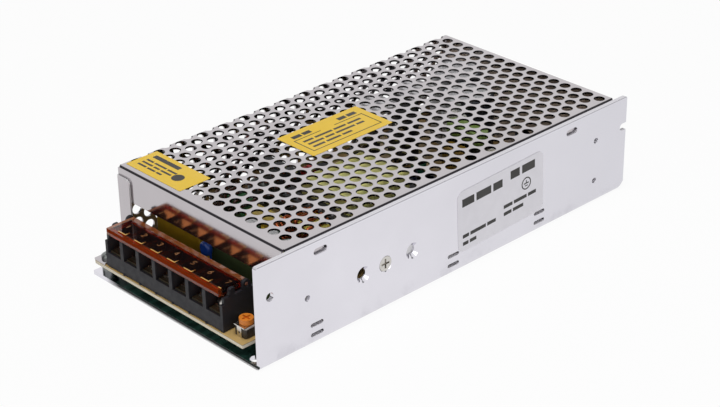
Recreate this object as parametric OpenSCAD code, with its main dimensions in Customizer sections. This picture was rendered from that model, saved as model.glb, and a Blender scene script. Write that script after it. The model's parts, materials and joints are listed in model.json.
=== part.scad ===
// Enclosed switching power supply: a folded chassis, a perforated cover, a circuit board with its
// parts, and a seven-way terminal block with a hinged guard.
// Inside each module, places are counted from the left front bottom corner of the case:
// x to the right, y to the rear, z up.

/* [Case] */
// Width over the chassis wall
case_w = 98; // [96:1:120]
// Length of the chassis
case_l = 199; // [180:1:230]
// Height of the chassis wall and of the cover
case_h = 42; // [39:1:55]
// Thickness of the chassis sheet
chassis_t = 1.8; // [1.5:0.1:2.5]
// Inner radius of the chassis fold
chassis_bend = 0.6; // [0.3:0.1:1.2]
// Cut at the lower rear corner of the chassis wall
corner_cut = 3.5; // [2:0.5:4]
// Rounding of the upper corners of the chassis wall
wall_corner_r = 1; // [0.5:0.5:3]

/* [Cover] */
// Thickness of the cover sheet
cover_t = 0.8; // [0.6:0.1:1.2]
// Inner radius of the cover folds
cover_bend = 0.4; // [0.2:0.1:0.6]
// From the front of the chassis to the cover's front lip
cover_front = 14.9; // [14.5:0.1:18]
// From the cover's rear panel to the rear of the chassis
cover_rear = 4.9; // [4:0.1:10]
// Height of the front lip
lip_h = 13.5; // [10:0.5:16]
// Width of the front flange and of its foot
front_flange_w = 7.8; // [6:0.2:8]
// Width of the rear flange
rear_flange_w = 12; // [8:1:20]
// From the top of the cover to the top of the two flanges
flange_top = 4; // [2:0.5:8]
// Height of the right flange inside the chassis wall
right_flange_h = 9; // [7:0.5:14]
// Diameter of the vent holes
hole_d = 4.6; // [3:0.1:5]
// Pitch of the vent holes across the cover
hole_pitch = 6.1; // [5.6:0.1:8]
// Spacing of the rows of vent holes
row_step = 5.387; // [4.9:0.001:7]
// From the front lip to the first row
first_row = 7.2; // [5:0.1:12]
// Least plain strip behind the last row
rear_strip = 4.9; // [4:0.1:12]
// Least plain strip beside the last column
right_strip = 3.8; // [3.6:0.1:12]
// Lowest vent hole centre on the left wall
vent_bottom = 10; // [8:0.5:20]

/* [Circuit board] */
// Thickness of the main board
board_t = 1.6; // [1:0.1:2.4]
// Height of the spacers under the board
spacer_h = 3.6; // [3:0.1:6]
// Diameter of the spacers
spacer_d = 6; // [5:0.1:8]
// Setback of the board from the front of the chassis
board_front = 0.1; // [0:0.1:1]
// Gap between the board and the cover's rear panel
board_rear_gap = 6; // [3:0.5:12]
// Depth of the board's front right notch
notch_l = 12; // [10:0.5:14]
// Width of the board's front right notch
notch_w = 6.05; // [5:0.05:8]
// Nominal diameter of the board screws
screw_d = 3; // [2.5:0.1:3]
// Head diameter of the board screws
screw_head_d = 6; // [5:0.1:6.4]

/* [Terminal block] */
// From the left of the case to the block
block_left = 8.5; // [8.4:0.1:10]
// Depth of the block
block_l = 15.4; // [15:0.1:16]
// Height of the wire floor over the board
floor_h = 6.2; // [5:0.1:7]
// Thickness of the dividers
divider_t = 1.9; // [1.4:0.1:2.4]
// Thickness of the end walls
end_wall_t = 1.4; // [1.2:0.1:2]
// Diameter of the terminal screws
clamp_screw_d = 3.5; // [3:0.1:3.8]
// Height over which a terminal screw lifts
screw_lift = 3; // [2:0.1:3]

/* [Terminal guard] */
// Thickness of the guard's top
guard_t = 1.3; // [1:0.1:1.8]
// Height of the guard's skirt
skirt_h = 2.6; // [2.2:0.1:3.2]
// Thickness of the guard's skirt
skirt_t = 1.7; // [0.8:0.1:1.9]
// Depth of the guard from front to rear
guard_l = 12.8; // [12:0.1:13.2]
// Diameter of the guard's pins
guard_pin_d = 1.6; // [1.2:0.1:2]

/* [Trimmer] */
// Side of the trimmer's base
trim_w = 6.4; // [6:0.1:7]
// Height of the trimmer's base
trim_h = 4.2; // [3:0.1:5]
// Diameter of the trimmer's rotor
rotor_d = 5.4; // [4.5:0.1:6]
// Height of the trimmer's rotor
rotor_h = 2.2; // [1.8:0.1:4]

/* [Voltage selector] */
// Length of the selector switch
selector_l = 20; // [18:0.5:24]
// Width of the selector switch
selector_w = 10; // [9:0.5:13]
// Height of the selector switch
selector_h = 10; // [8:0.5:13]
// Travel of the selector's slider
selector_travel = 4; // [3:0.5:5]

/* [Power parts] */
// Width of the transformer core
core_w = 40; // [36:1:42]
// Length of the transformer core
core_l = 44; // [40:1:46]
// Thickness of the transformer core
core_t = 12; // [10:0.5:14]
// Build of the transformer coil round its leg
coil_build = 7.3; // [6:0.1:7.6]
// Outer diameter of the output choke's ring core
ring_d = 24; // [20:0.5:25]
// Hole diameter of the output choke's ring core
ring_bore = 13; // [12:0.5:15]
// Thickness of the output choke's ring core
ring_t = 10; // [8:0.5:12]
// Thickness of the output choke's winding
wire_t = 1.6; // [1:0.1:2]
// Diameter of the bulk capacitors
bulk_d = 22; // [18:0.5:23]
// Height of the bulk capacitors
bulk_h = 31; // [24:0.5:32]
// Diameter of the output capacitors
out_cap_d = 10; // [8:0.5:10.4]
// Height of the output capacitors
out_cap_h = 24; // [18:0.5:28]
// Thickness of the bar that carries the output rectifier
bar_t = 3; // [2.5:0.1:4]

/* [Hidden] */
$fn = 48;
eps = 0.01;
poles = 7;

// Clearances
seam_gap = 0.1;
slide_gap = 0.3;
side_gap = 0.6;
turn_gap = 0.15;
screw_gap = 0.05;
lead_gap = 0.2;

// Levels and planes shared by the pieces
base_top = chassis_t;
board_under = base_top + spacer_h;
board_top = board_under + board_t;
wall_in = case_w - chassis_t;
chassis_r = chassis_bend + chassis_t;

// Cover planes
cover_r = cover_bend + cover_t;
cover_right = wall_in - side_gap;
cover_y0 = cover_front;
cover_y1 = case_l - cover_rear;
front_flange_y = cover_y0 - seam_gap - cover_t;
rear_flange_y = cover_y1 + seam_gap;

// Vent pattern: even rows are shifted by half a pitch, odd rows have a hole on the left fold
rows = floor((cover_y1 - cover_y0 - first_row - rear_strip) / row_step) + 1;
columns = floor((cover_right - right_strip) / hole_pitch);
wall_columns = floor((case_h - vent_bottom) / hole_pitch);
fold_trim = 0.05;
fold_notch = sqrt(pow(hole_d / 2, 2) - pow(cover_r, 2)) + fold_trim;
function row_y(r) = cover_y0 + first_row + r * row_step;
function on_fold(r) = r % 2 == 1;

// Wall features, from the front or the rear of the chassis
wall_hole = [5.9, 28.3];
wall_hole_d = 3.5;
front_tap = [23.2, 20.5];
rear_taps = [[case_l - 18.8, 28.3], [case_l - 18.8, 10.3]];
tap_d = 2.5;
sink_z = 19;
sink_ys = [50.7, 62, 75.9];
sink_d = 6.6;
sink_bore_d = 4;
rear_slot_z = 28.8;
rear_slot_w = 3.2;
rear_slot_l = 3.8;
pair_ys = [27.4, 97.8, case_l - 52.2];
pair_zs = [4.35, 8.4];
pair_l = 6.2;
pair_w = 1.6;
hook_ys = [30, case_l - 34];
hook_l = 6.4;
hook_h = 2.6;
hook_drop = 4.4;
hook_in = 0.4 * chassis_t;
hook_z = case_h - hook_drop;

// Base mounting hole at the front and open slot at the rear
base_hole_d = 4.2;
base_hole_inset = 5.8;
base_hole_y = 2.9;
base_slot_l = 4.4;

// Places along the left side, as shares of the case length
thermistor_share = 0.352;
bridge_rect_share = 0.392;
selector_share = 0.433;
middle_screw_share = 0.563;
cooler_share = 0.603;

// Board outline and screw places
board_left = cover_t + 0.6;
board_right = wall_in - 1.6;
board_y1 = cover_y1 - cover_t - board_rear_gap;
foot_screw = [4.8, 4.4];
rear_screw_inset = 8;
screw_head_h = 1.6;
screw_hole_d = screw_d + 0.4;
screw_grip = 2.6;

// Trimmer, beside the board's front right notch
trim_gap = 2.7;
trim_edge = 1.8;
trim_back = 3.3;
board_front_right = board_right - notch_w;
trim_x0 = board_front_right - trim_edge - trim_w;
trim_y0 = board_front + trim_back;
trim_axis = [trim_x0 + trim_w / 2, trim_y0 + trim_w / 2];
trim_top = board_top + trim_h;
clip_t = 0.4;
clip_in = 0.3;
clip_leg_w = 2.4;
clip_hole_d = 0.9;
clip_hole_z = 2;
spindle_d = 2;

// Terminal block, from the cover's foot to the trimmer
block_right = trim_x0 - trim_gap;
block_w = block_right - block_left;
pole_pitch = (block_w - 2 * end_wall_t + divider_t) / poles;
block_setback = 0.5;
block_y0 = board_front + block_setback;
block_y1 = block_y0 + block_l;
block_foot_h = 0.4;
block_foot = [1.6, 2];
foot_shift = 1.1;
block_under = board_top + block_foot_h;
block_floor = board_top + floor_h;
cell_w = pole_pitch - divider_t;
rear_wall_t = 2.4;
end_rise = 5;
contact_t = 0.8;
contact_w = cell_w - 1;
contact_y0 = block_y0 + 1;
contact_y1 = block_y1 - rear_wall_t - 2 * lead_gap;
pin_w = 1.4;
pin_below = 1.4;
clamp_y = block_y0 + 6.2;
clamp_z = block_floor + contact_t;
washer_t = 1;
washer_w = cell_w - 1.05;
clamp_head_d = washer_w - 0.6;
clamp_head_h = 2.2;
head_room = 0.9;
block_top = clamp_z + washer_t + clamp_head_h + screw_lift + head_room;
well_d = clamp_screw_d + 0.5;
well_bottom = block_under + 1;
clamp_shank = clamp_z + washer_t - well_bottom - 2 * lead_gap;
function pole_x(i) = block_left + end_wall_t + cell_w / 2 + i * pole_pitch;
function foot_x(i) = min(pole_x(i) - pole_pitch / 2 + foot_shift, block_right - block_foot[0]);

// Terminal guard and the ears that carry it
guard_z0 = block_top + slide_gap;
guard_z1 = guard_z0 + skirt_h;
guard_x0 = block_left + end_wall_t + slide_gap;
guard_w = block_w - 2 * end_wall_t - 2 * slide_gap;
guard_y0 = block_y0 - 0.1;
guard_y1 = guard_y0 + guard_l;
guard_axis = [guard_y1 - 0.9, guard_z0 + 1.2];
ear_r = guard_pin_d / 2 + 1;
rear_step = guard_axis[1] - 1.9;
latch_y = block_y0 + 3.6;
latch_l = 2.4;
latch_top = guard_z1 - 0.3;
rib_h = 0.4;
rib_w = 0.5;
rib_right = 0.26 * cell_w;
rib_l = 0.58 * cell_w;
rib_tick = 1.8;
function rib_x(i) = pole_x(i) + rib_right;

// Board screws: front right, both rear corners and the middle
board_screw_places = [
    [board_front_right - 3.4, 15.4],
    [board_left + 5, board_y1 - rear_screw_inset],
    [board_right - 5, board_y1 - rear_screw_inset],
    [38, middle_screw_share * case_l]
];

// Voltage selector
selector_x0 = 15;
selector_y0 = selector_share * case_l;
selector_top = board_top + selector_h;
selector_mid = [selector_x0 + selector_w / 2, selector_y0 + selector_l / 2];
slider_l = 5;
slider_w = 4;
slider_h = 2.4;
slider_in = 3;
slider_y0 = selector_mid[1] - (slider_l + selector_travel) / 2;

// Line input parts
fuse_x = 8.5;
fuse_y0 = 40;
fuse_d = 5;
fuse_l = 20;
cap_l = 5.4;
cap_d = fuse_d + 0.3;
fuse_z = board_top + cap_d / 2 + 1.2;
clip_spring_t = 0.5;
thermistor_at = [18, thermistor_share * case_l];
thermistor_d = 13;
thermistor_t = 5;
thermistor_z = board_top + 9;
line_cap = [15, 20.5];
line_cap_size = [26, 10, 17];
line_cap_foot = 3;
line_cap_lift = 0.6;
disc_d = 6;
disc_t = 2.6;
disc_gap = 1.3;
disc_at = [47.2, block_y1 + disc_gap + disc_t / 2];
disc_z = board_top + 15.6;
choke_at = [26, 50];
choke_d = 19;
choke_bore = 10;
choke_t = 8;
choke_wire = 1.4;
choke_starts = [20, 200];
choke_sweep = 140;
bridge_rect_at = [9, bridge_rect_share * case_l];
bridge_rect_size = [22, 3.6, 16];
bridge_rect_lift = 3;
bridge_rect_cut = 3;
bridge_rect_pitch = 5.1;
lead_d = 0.9;
lead_pitch = 2.5;
lead_below = 1;

// Flat power devices
to_w = 10;
to_h = 15;
to_t = 4.4;
to_tab_t = 1.3;
to_body_h = 9;
to_hole_d = 3.6;
to_head_d = to_h - to_body_h - 0.6;
to_lead_in = 2.4;
to_lift = 5;
function to_lead_y(p) = p[1] - to_lead_in;
function to_hole_z() = (to_h + to_body_h) / 2;

// Output rectifier on its bar
bar_y0 = sink_ys[1] - 7;
bar_l = 36;
bar_z0 = board_top + 2;
bar_top = case_h - right_flange_h - 1;
bar_x0 = wall_in - bar_t;
pad_t = 0.3;
pad_edge = 1.5;
rect_y = bar_y0 + 24;
rect_lead_x = bar_x0 - pad_t - to_lead_in;
rect_z = bar_z0 + 4;

// Main transformer
transformer_gap = 6.5;
transformer_at = [bar_x0 - pad_t - to_t - transformer_gap - core_w / 2, 81];
bobbin_h = 3;
middle_leg_w = 12;
window_w = 8;
yoke_l = 6;
coil_gap = 0.2;
coil_bottom = board_top + bobbin_h;
coil_h = core_t + 2 * coil_build;
core_z = coil_bottom + coil_build;

// Output choke, standing on edge with its axis from front to rear
ring_axis_at = [69, 49];
ring_outer = ring_d + 2 * wire_t;
ring_z = board_top + ring_outer / 2;
ring_start = -75;
ring_sweep = 330;

// Output capacitors in a row
out_cap_y = 32.5;
out_cap_x0 = 55;
out_cap_gap = 1.5;
out_cap_xs = [for (i = [0 : 2]) out_cap_x0 + i * (out_cap_d + out_cap_gap)];

// Rear parts, counted from the rear of the board
bulk_x = 24;
bulk_gap = 1;
bulk_turn = -34;
bulk_from_rear = (bulk_d + bulk_gap) / 2;
bulk_step = (bulk_d + bulk_gap) * [cos(bulk_turn), sin(bulk_turn)];
bulk_places = [for (i = [0, 1]) [bulk_x, board_y1 - bulk_from_rear] + i * bulk_step];
cooler_x = 26;
cooler_from_rear = 45;
cooler_places = [[cooler_x, cooler_share * case_l], [cooler_x, board_y1 - cooler_from_rear]];
cooler_w = 14;
cooler_t = 2;
cooler_l = 13.4;
cooler_gap = 2;
cooler_h = case_h - cover_t - cooler_gap - board_top;

// Control board
control_x0 = 46;
control_y = 21.6;
control_edge = 8.6;
control_w = board_right - control_edge - control_x0;
control_h = 16;
control_t = 1.6;
control_notch = 2;
header_pins = 10;
header_pitch = 2.54;
header_w = 0.64;
chip_size = [19, 2.6, 6.4];
chip_at = [8, 6];
chip_legs = 8;
leg_w = 1.2;
leg_t = 0.3;
leg_out = 0.8;

// Small blocks behind the transformer
driver_gap = 1.2;
driver_x0 = choke_at[0] + choke_d / 2 + choke_wire + driver_gap;
driver_x1 = ring_axis_at[0] - ring_outer / 2 - driver_gap;
driver_size = [driver_x1 - driver_x0, 14, 18];
driver_at = [driver_x0, ring_axis_at[1] - driver_size[1] / 2];
driver_flange = 1.6;
driver_yoke = 3;
driver_in = 0.5;
film_size = [20, 7, 23.5];
film_gap = 0.3;
film_at = [47, bulk_places[1][1] - bulk_d / 2 - film_gap - film_size[1]];
cement_at = [58, board_y1 - 32];
cement_size = [22, 9, 9];
cement_wall = 1;
body_lift = 1.5;

// Helpers

module corner() translate([-case_w / 2, -case_l / 2, 0]) children();

// A plate whose outline is drawn in y and z, t thick towards +x
module plate_yz(t) rotate([90, 0, 90]) linear_extrude(t) children();

// A plate whose outline is drawn in x and z, t thick towards +y
module plate_xz(t) translate([0, t, 0]) rotate([90, 0, 0]) linear_extrude(t) children();

// Quarter bends of a sheet, centred on the origin and running along one axis
module bend(len, r, t) rotate_extrude(angle = 90) translate([r, 0]) square([t, len]);
module bend_x(len, turn, r, t) rotate([turn, 0, 0]) rotate([0, 90, 0]) bend(len, r, t);
module bend_y(len, turn, r, t) rotate([0, turn, 0]) rotate([-90, 0, 0]) bend(len, r, t);
module bend_z(len, turn, r, t) rotate([0, 0, turn]) bend(len, r, t);

module rounded_square(size, r) {
    translate([r, 0]) square([size[0] - 2 * r, size[1]]);
    translate([0, r]) square([size[0], size[1] - 2 * r]);
    for (x = [r, size[0] - r], y = [r, size[1] - r]) translate([x, y]) circle(r);
}

module rounded_box(size, r) linear_extrude(size[2]) rounded_square([size[0], size[1]], r);

// The scrap outside a rounded corner that points to +x and +y
module corner_scrap(r) difference() {
    square(r + 1);
    circle(r);
}

// A slot of width w whose round ends lie l apart, along the first axis
module slot_2d(l, w) {
    translate([-(l - w) / 2, -w / 2]) square([l - w, w]);
    for (x = [-(l - w) / 2, (l - w) / 2]) translate([x, 0]) circle(d = w);
}

module cross_recess(d, depth) for (a = [0, 90]) rotate(a)
    translate([-d / 2, -d / 10, -depth]) cube([d, d / 5, depth + eps]);

module pan_screw(d, l, head_d, head_h) difference() {
    union() {
        translate([0, 0, -l]) cylinder(d = d, h = l + eps);
        cylinder(d = head_d, h = head_h * 0.6);
        translate([0, 0, head_h * 0.6]) cylinder(d1 = head_d, d2 = head_d * 0.72, h = head_h * 0.4);
    }
    translate([0, 0, head_h]) cross_recess(head_d * 0.55, head_h * 0.6);
}

// A can with a rounded rim and a crimp groove, standing on the board
module radial_can(d, h) rotate_extrude() difference() {
    union() {
        square([d / 2 - 1, h]);
        square([d / 2, h - 1]);
        translate([d / 2 - 1, h - 1]) circle(1);
    }
    translate([d / 2 + 0.5, 3]) circle(1);
    translate([-2, h - 0.4]) square([d / 2 - 0.2, 1]);
    translate([-d, -1]) square([d, h + 2]);
}

// Chassis

module wall_outline() difference() {
    translate([0, chassis_r]) square([case_l, case_h - chassis_r]);
    translate([case_l - wall_corner_r, case_h - wall_corner_r]) corner_scrap(wall_corner_r);
    translate([wall_corner_r, case_h - wall_corner_r]) mirror([1, 0]) corner_scrap(wall_corner_r);
    translate(wall_hole) circle(d = wall_hole_d);
    translate(front_tap) circle(d = tap_d);
    for (p = rear_taps) translate(p) circle(d = tap_d);
    for (y = sink_ys) translate([y, sink_z]) circle(d = sink_bore_d);
    for (y = hook_ys) translate([y, hook_z]) slot_2d(hook_l, hook_h);
    translate([case_l, rear_slot_z]) slot_2d(2 * rear_slot_l, rear_slot_w);
    for (y = pair_ys, z = pair_zs) translate([y, z]) slot_2d(pair_l, pair_w);
}

module base_outline() difference() {
    square([case_w - chassis_r, case_l]);
    translate([case_w - base_hole_inset, base_hole_y]) circle(d = base_hole_d);
    translate([case_w - base_hole_inset, case_l]) rotate(90) slot_2d(2 * base_slot_l, base_hole_d);
}

module chassis() color([0.86, 0.85, 0.88]) corner() difference() {
    union() {
        linear_extrude(chassis_t) base_outline();
        translate([case_w - chassis_r, 0, chassis_r]) bend_y(case_l, 0, chassis_bend, chassis_t);
        translate([wall_in, 0, 0]) plate_yz(chassis_t) wall_outline();
    }
    for (y = sink_ys)
        translate([case_w - (sink_d - sink_bore_d) / 2, y, sink_z]) rotate([0, 90, 0])
            cylinder(d1 = sink_bore_d, d2 = sink_d + 2 * eps, h = (sink_d - sink_bore_d) / 2 + eps);
    translate([case_w - chassis_r - 1, case_l, -corner_cut]) rotate([45, 0, 0])
        cube([chassis_r + 2, corner_cut * sqrt(2), corner_cut * sqrt(2)]);
}

// Cover

module top_vents() for (r = [0 : rows - 1]) translate([0, row_y(r)])
    for (k = [0 : columns - (on_fold(r) ? 0 : 1)])
        translate([(on_fold(r) ? k : k + 0.5) * hole_pitch, 0]) circle(d = hole_d, $fn = 24);

module left_vents() for (r = [0 : rows - 1]) translate([row_y(r), case_h])
    for (k = [0 : wall_columns - (on_fold(r) ? 0 : 1)])
        translate([0, -(on_fold(r) ? k : k + 0.5) * hole_pitch]) circle(d = hole_d, $fn = 24);

// The left top fold between two holes that wrap round it, bitten by one hole on either side
module fold_piece(y0, y1, hole_y) difference() {
    translate([cover_r, y0, case_h - cover_r]) bend_y(y1 - y0, 180, cover_bend, cover_t);
    translate([hole_pitch / 2, hole_y, case_h - cover_t - 0.2]) cylinder(d = hole_d, h = 2, $fn = 24);
    translate([-1, hole_y, case_h - hole_pitch / 2]) rotate([0, 90, 0])
        cylinder(d = hole_d, h = 1 + cover_t + 0.2, $fn = 24);
}

module left_fold() {
    y0 = cover_y0 + cover_r;
    y1 = cover_y1 - cover_r;
    for (r = [0 : 2 : rows - 1])
        fold_piece(r == 0 ? y0 : row_y(r - 1) + fold_notch,
                   r + 1 > rows - 1 ? y1 : row_y(r + 1) - fold_notch, row_y(r));
    if (on_fold(rows - 1)) {
        last = row_y(rows - 1) + fold_notch;
        translate([cover_r, last, case_h - cover_r]) bend_y(y1 - last, 180, cover_bend, cover_t);
    }
}

// A flange bent inward from the left wall, with its inner upper corner rounded
module flange_outline(w, bottom) difference() {
    translate([cover_r, bottom]) square([w - cover_r, case_h - flange_top - bottom]);
    translate([w - 2, case_h - flange_top - 2]) corner_scrap(2);
}

module front_foot() difference() {
    translate([cover_r, board_front, board_top])
        cube([front_flange_w - cover_r, front_flange_y - cover_bend - board_front, cover_t]);
    translate([foot_screw[0], foot_screw[1], board_top - 1]) cylinder(d = screw_hole_d, h = 3);
}

module cover() color([0.77, 0.75, 0.75]) corner() {
    side_y0 = front_flange_y + cover_r;
    side_y1 = rear_flange_y + cover_t - cover_r;
    foot_z = board_top + cover_r;
    flange_z1 = case_h - flange_top;
    translate([0, 0, case_h - cover_t]) linear_extrude(cover_t) difference() {
        translate([cover_r, cover_y0 + cover_r])
            square([cover_right - 2 * cover_r, cover_y1 - cover_y0 - 2 * cover_r]);
        top_vents();
    }
    left_fold();
    plate_yz(cover_t) difference() {
        translate([side_y0, base_top]) square([side_y1 - side_y0, case_h - cover_r - base_top]);
        left_vents();
    }
    // Front: lip from the top, flange from the left wall with its foot
    translate([cover_r, cover_y0 + cover_r, case_h - cover_r])
        bend_x(cover_right - 2 * cover_r, 180, cover_bend, cover_t);
    translate([cover_r, cover_y0, case_h - lip_h])
        cube([cover_right - 2 * cover_r, cover_t, lip_h - cover_r]);
    translate([cover_r, side_y0, foot_z]) bend_z(flange_z1 - foot_z, 180, cover_bend, cover_t);
    translate([0, front_flange_y, 0]) plate_xz(cover_t) flange_outline(front_flange_w, foot_z);
    translate([cover_r, front_flange_y - cover_bend, foot_z])
        bend_x(front_flange_w - cover_r, 0, cover_bend, cover_t);
    front_foot();
    // Rear: panel from the top, flange from the left wall
    translate([cover_r, cover_y1 - cover_r, case_h - cover_r])
        bend_x(cover_right - 2 * cover_r, 90, cover_bend, cover_t);
    translate([cover_r, cover_y1 - cover_t, base_top])
        cube([cover_right - 2 * cover_r, cover_t, case_h - cover_r - base_top]);
    translate([cover_r, side_y1, base_top]) bend_z(flange_z1 - base_top, 90, cover_bend, cover_t);
    translate([0, rear_flange_y, 0]) plate_xz(cover_t) flange_outline(rear_flange_w, base_top);
    // Right: flange inside the chassis wall, with two ridges that snap into its slots
    translate([cover_right - cover_r, cover_y0 + cover_r, case_h - cover_r])
        bend_y(cover_y1 - cover_y0 - 2 * cover_r, -90, cover_bend, cover_t);
    translate([cover_right - cover_t, cover_y0 + cover_r, case_h - right_flange_h])
        cube([cover_t, cover_y1 - cover_y0 - 2 * cover_r, right_flange_h - cover_r]);
    for (y = hook_ys)
        translate([cover_right - eps, 0, 0]) plate_yz(side_gap + hook_in)
            translate([y, hook_z]) slot_2d(hook_l - 1, hook_h - 1);
}

module cover_screw() color([0.75, 0.76, 0.78]) corner()
    translate([foot_screw[0], foot_screw[1], board_top + cover_t])
        pan_screw(screw_d, cover_t + board_t + screw_grip, screw_head_d, screw_head_h);

// Main board

module pins_2d(d) for (x = [-lead_pitch, 0, lead_pitch])
    translate([x, 0]) circle(d = d, $fn = 16);

module board_outline() difference() {
    translate([board_left, board_front])
        square([board_right - board_left, board_y1 - board_front]);
    translate([board_front_right, board_front - 1])
        square([board_right - board_front_right + 1, notch_l + 1]);
    translate(foot_screw) circle(d = screw_hole_d);
    for (p = board_screw_places) translate(p) circle(d = screw_hole_d);
    for (i = [0 : poles - 1])
        translate([pole_x(i) - pin_w / 2 - lead_gap, contact_y1 - contact_t - lead_gap])
            square([pin_w + 2 * lead_gap, contact_t + 2 * lead_gap]);
    for (p = cooler_places) translate([p[0], to_lead_y(p)]) pins_2d(lead_d + 2 * lead_gap);
    translate([rect_lead_x, rect_y]) rotate(90) pins_2d(lead_d + 2 * lead_gap);
}

module main_board() color([0.74, 0.6, 0.33]) corner()
    translate([0, 0, board_under]) linear_extrude(board_t) board_outline();

module board_spacers() color([0.8, 0.8, 0.82]) corner()
    for (p = concat([foot_screw], board_screw_places))
        translate([p[0], p[1], base_top]) difference() {
            cylinder(d = spacer_d, h = spacer_h);
            translate([0, 0, -1]) cylinder(d = screw_d + 2 * screw_gap, h = spacer_h + 2);
        }

module board_screws() color([0.75, 0.76, 0.78]) corner()
    for (p = board_screw_places)
        translate([p[0], p[1], board_top])
            pan_screw(screw_d, board_t + screw_grip, screw_head_d, screw_head_h);

// Terminal block

module end_wall_outline() difference() {
    union() {
        translate([block_y0, block_under]) square([block_l, block_floor - block_under + end_rise]);
        translate([block_y0 + 1, block_floor]) square([guard_axis[0] - block_y0, rear_step - block_floor]);
        translate([guard_axis[0] - ear_r, block_floor])
            square([2 * ear_r, guard_axis[1] - block_floor]);
        translate(guard_axis) circle(ear_r);
        translate([latch_y, block_floor]) square([latch_l, latch_top - block_floor - 1]);
        translate([latch_y + 1, block_floor]) square([latch_l - 1, latch_top - block_floor]);
        translate([latch_y + 1, latch_top - 1]) circle(1);
    }
    translate(guard_axis) circle(d = guard_pin_d + 2 * turn_gap);
}

module divider_outline() {
    translate([block_y0, block_floor - 1])
        square([guard_axis[0] - ear_r - block_y0, block_top - block_floor + 1]);
    translate([block_y0, block_floor - 1]) square([block_l - 1, rear_step - block_floor + 1]);
}

module terminal_block() color([0.2, 0.2, 0.21]) corner() difference() {
    union() {
        translate([block_left, block_y0, block_under]) cube([block_w, block_l, block_floor - block_under]);
        translate([block_left, block_y1 - rear_wall_t, block_under])
            cube([block_w, rear_wall_t, rear_step - block_under]);
        for (x = [block_left, block_right - end_wall_t])
            translate([x, 0, 0]) plate_yz(end_wall_t) end_wall_outline();
        for (i = [1 : poles - 1])
            translate([pole_x(i) - pole_pitch / 2 - divider_t / 2, 0, 0])
                plate_yz(divider_t) divider_outline();
        for (i = [0 : poles], y = [block_y0, block_y1 - block_foot[1]])
            translate([foot_x(i), y, board_top]) cube([block_foot[0], block_foot[1], block_foot_h + eps]);
    }
    for (i = [0 : poles - 1]) {
        translate([pole_x(i), clamp_y, well_bottom]) cylinder(d = well_d, h = floor_h);
        translate([pole_x(i) - pin_w / 2 - lead_gap, contact_y1 - contact_t - lead_gap, board_top - 1])
            cube([pin_w + 2 * lead_gap, contact_t + 2 * lead_gap, floor_h + 2]);
    }
}

module terminal_contacts() color([0.78, 0.74, 0.6]) corner() for (i = [0 : poles - 1]) {
    difference() {
        translate([pole_x(i) - contact_w / 2, contact_y0, block_floor])
            cube([contact_w, contact_y1 - contact_y0, contact_t]);
        translate([pole_x(i), clamp_y, block_floor - 1])
            cylinder(d = clamp_screw_d + 2 * turn_gap, h = contact_t + 2);
    }
    translate([pole_x(i) - pin_w / 2, contact_y1 - contact_t, board_under - pin_below])
        cube([pin_w, contact_t, block_floor - board_under + pin_below + eps]);
}

module clamp_washer(i) color([0.8, 0.8, 0.78]) corner()
    translate([pole_x(i), clamp_y, clamp_z]) difference() {
        translate([-washer_w / 2, -washer_w / 2, 0]) rounded_box([washer_w, washer_w, washer_t], 0.6);
        translate([0, 0, -1]) cylinder(d = clamp_screw_d + 2 * turn_gap, h = washer_t + 2);
    }

module terminal_screw(i) color([0.82, 0.82, 0.8]) corner()
    translate([pole_x(i), clamp_y, clamp_z + washer_t])
        pan_screw(clamp_screw_d, clamp_shank, clamp_head_d, clamp_head_h);

module guard_section() difference() {
    translate([guard_y0, guard_z0]) square([guard_l, skirt_h]);
    translate([guard_y0 + skirt_t, guard_z0 - 1]) square([guard_l - 2 * skirt_t, skirt_h - guard_t + 1]);
}

module terminal_guard() color([0.62, 0.2, 0.05]) corner() {
    translate([guard_x0, 0, 0]) plate_yz(guard_w) guard_section();
    for (x = [guard_x0, guard_x0 + guard_w - skirt_t])
        translate([x, guard_y0, guard_z0]) cube([skirt_t, guard_l, skirt_h]);
    // Pins that turn in the rear ears
    for (x = [guard_x0 - slide_gap - end_wall_t * 0.8, guard_x0 + guard_w - skirt_t])
        translate([x, guard_axis[0], guard_axis[1]]) rotate([0, 90, 0])
            cylinder(d = guard_pin_d, h = skirt_t + slide_gap + end_wall_t * 0.8);
    // Angled ribs on top along the front skirt, one for each terminal
    for (i = [0 : poles - 1])
        translate([rib_x(i), guard_y0 + skirt_t - rib_w, guard_z1 - eps]) {
            cube([min(rib_l, guard_x0 + guard_w - rib_x(i)), rib_w, rib_h]);
            if (i < poles - 1) translate([rib_l - rib_w, 0, 0]) cube([rib_w, rib_w + rib_tick, rib_h]);
        }
}

// Trimmer

module trimmer_base() color([0.17, 0.14, 0.11]) corner() translate([trim_x0, trim_y0, board_top])
    difference() {
        rounded_box([trim_w, trim_w, trim_h], 0.8);
        translate([trim_w / 2, trim_w / 2, 1]) cylinder(d = spindle_d + 2 * turn_gap, h = trim_h);
    }

module trimmer_clip() color([0.8, 0.8, 0.82]) corner() translate([trim_x0, trim_y0, board_top]) {
    difference() {
        translate([clip_in, -clip_t, trim_h])
            cube([trim_w - 2 * clip_in, trim_w + 2 * clip_t, clip_t]);
        translate([trim_w / 2, trim_w / 2, trim_h - 1]) cylinder(d = spindle_d + 1, h = 3);
    }
    for (y = [-clip_t, trim_w]) difference() {
        translate([(trim_w - clip_leg_w) / 2, y, 0]) cube([clip_leg_w, clip_t, trim_h + eps]);
        translate([trim_w / 2, y - 1, clip_hole_z]) rotate([-90, 0, 0])
            cylinder(d = clip_hole_d, h = clip_t + 2);
    }
}

module trimmer_rotor() color([0.92, 0.53, 0.16]) corner()
    translate([trim_axis[0], trim_axis[1], trim_top + clip_t]) difference() {
        union() {
            translate([0, 0, turn_gap]) cylinder(d = rotor_d, h = rotor_h - turn_gap);
            translate([0, 0, -clip_t - trim_h + 1 + turn_gap]) cylinder(d = spindle_d, h = trim_h + clip_t);
        }
        translate([0, 0, rotor_h]) cross_recess(rotor_d * 0.7, 1);
    }

// Voltage selector

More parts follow.
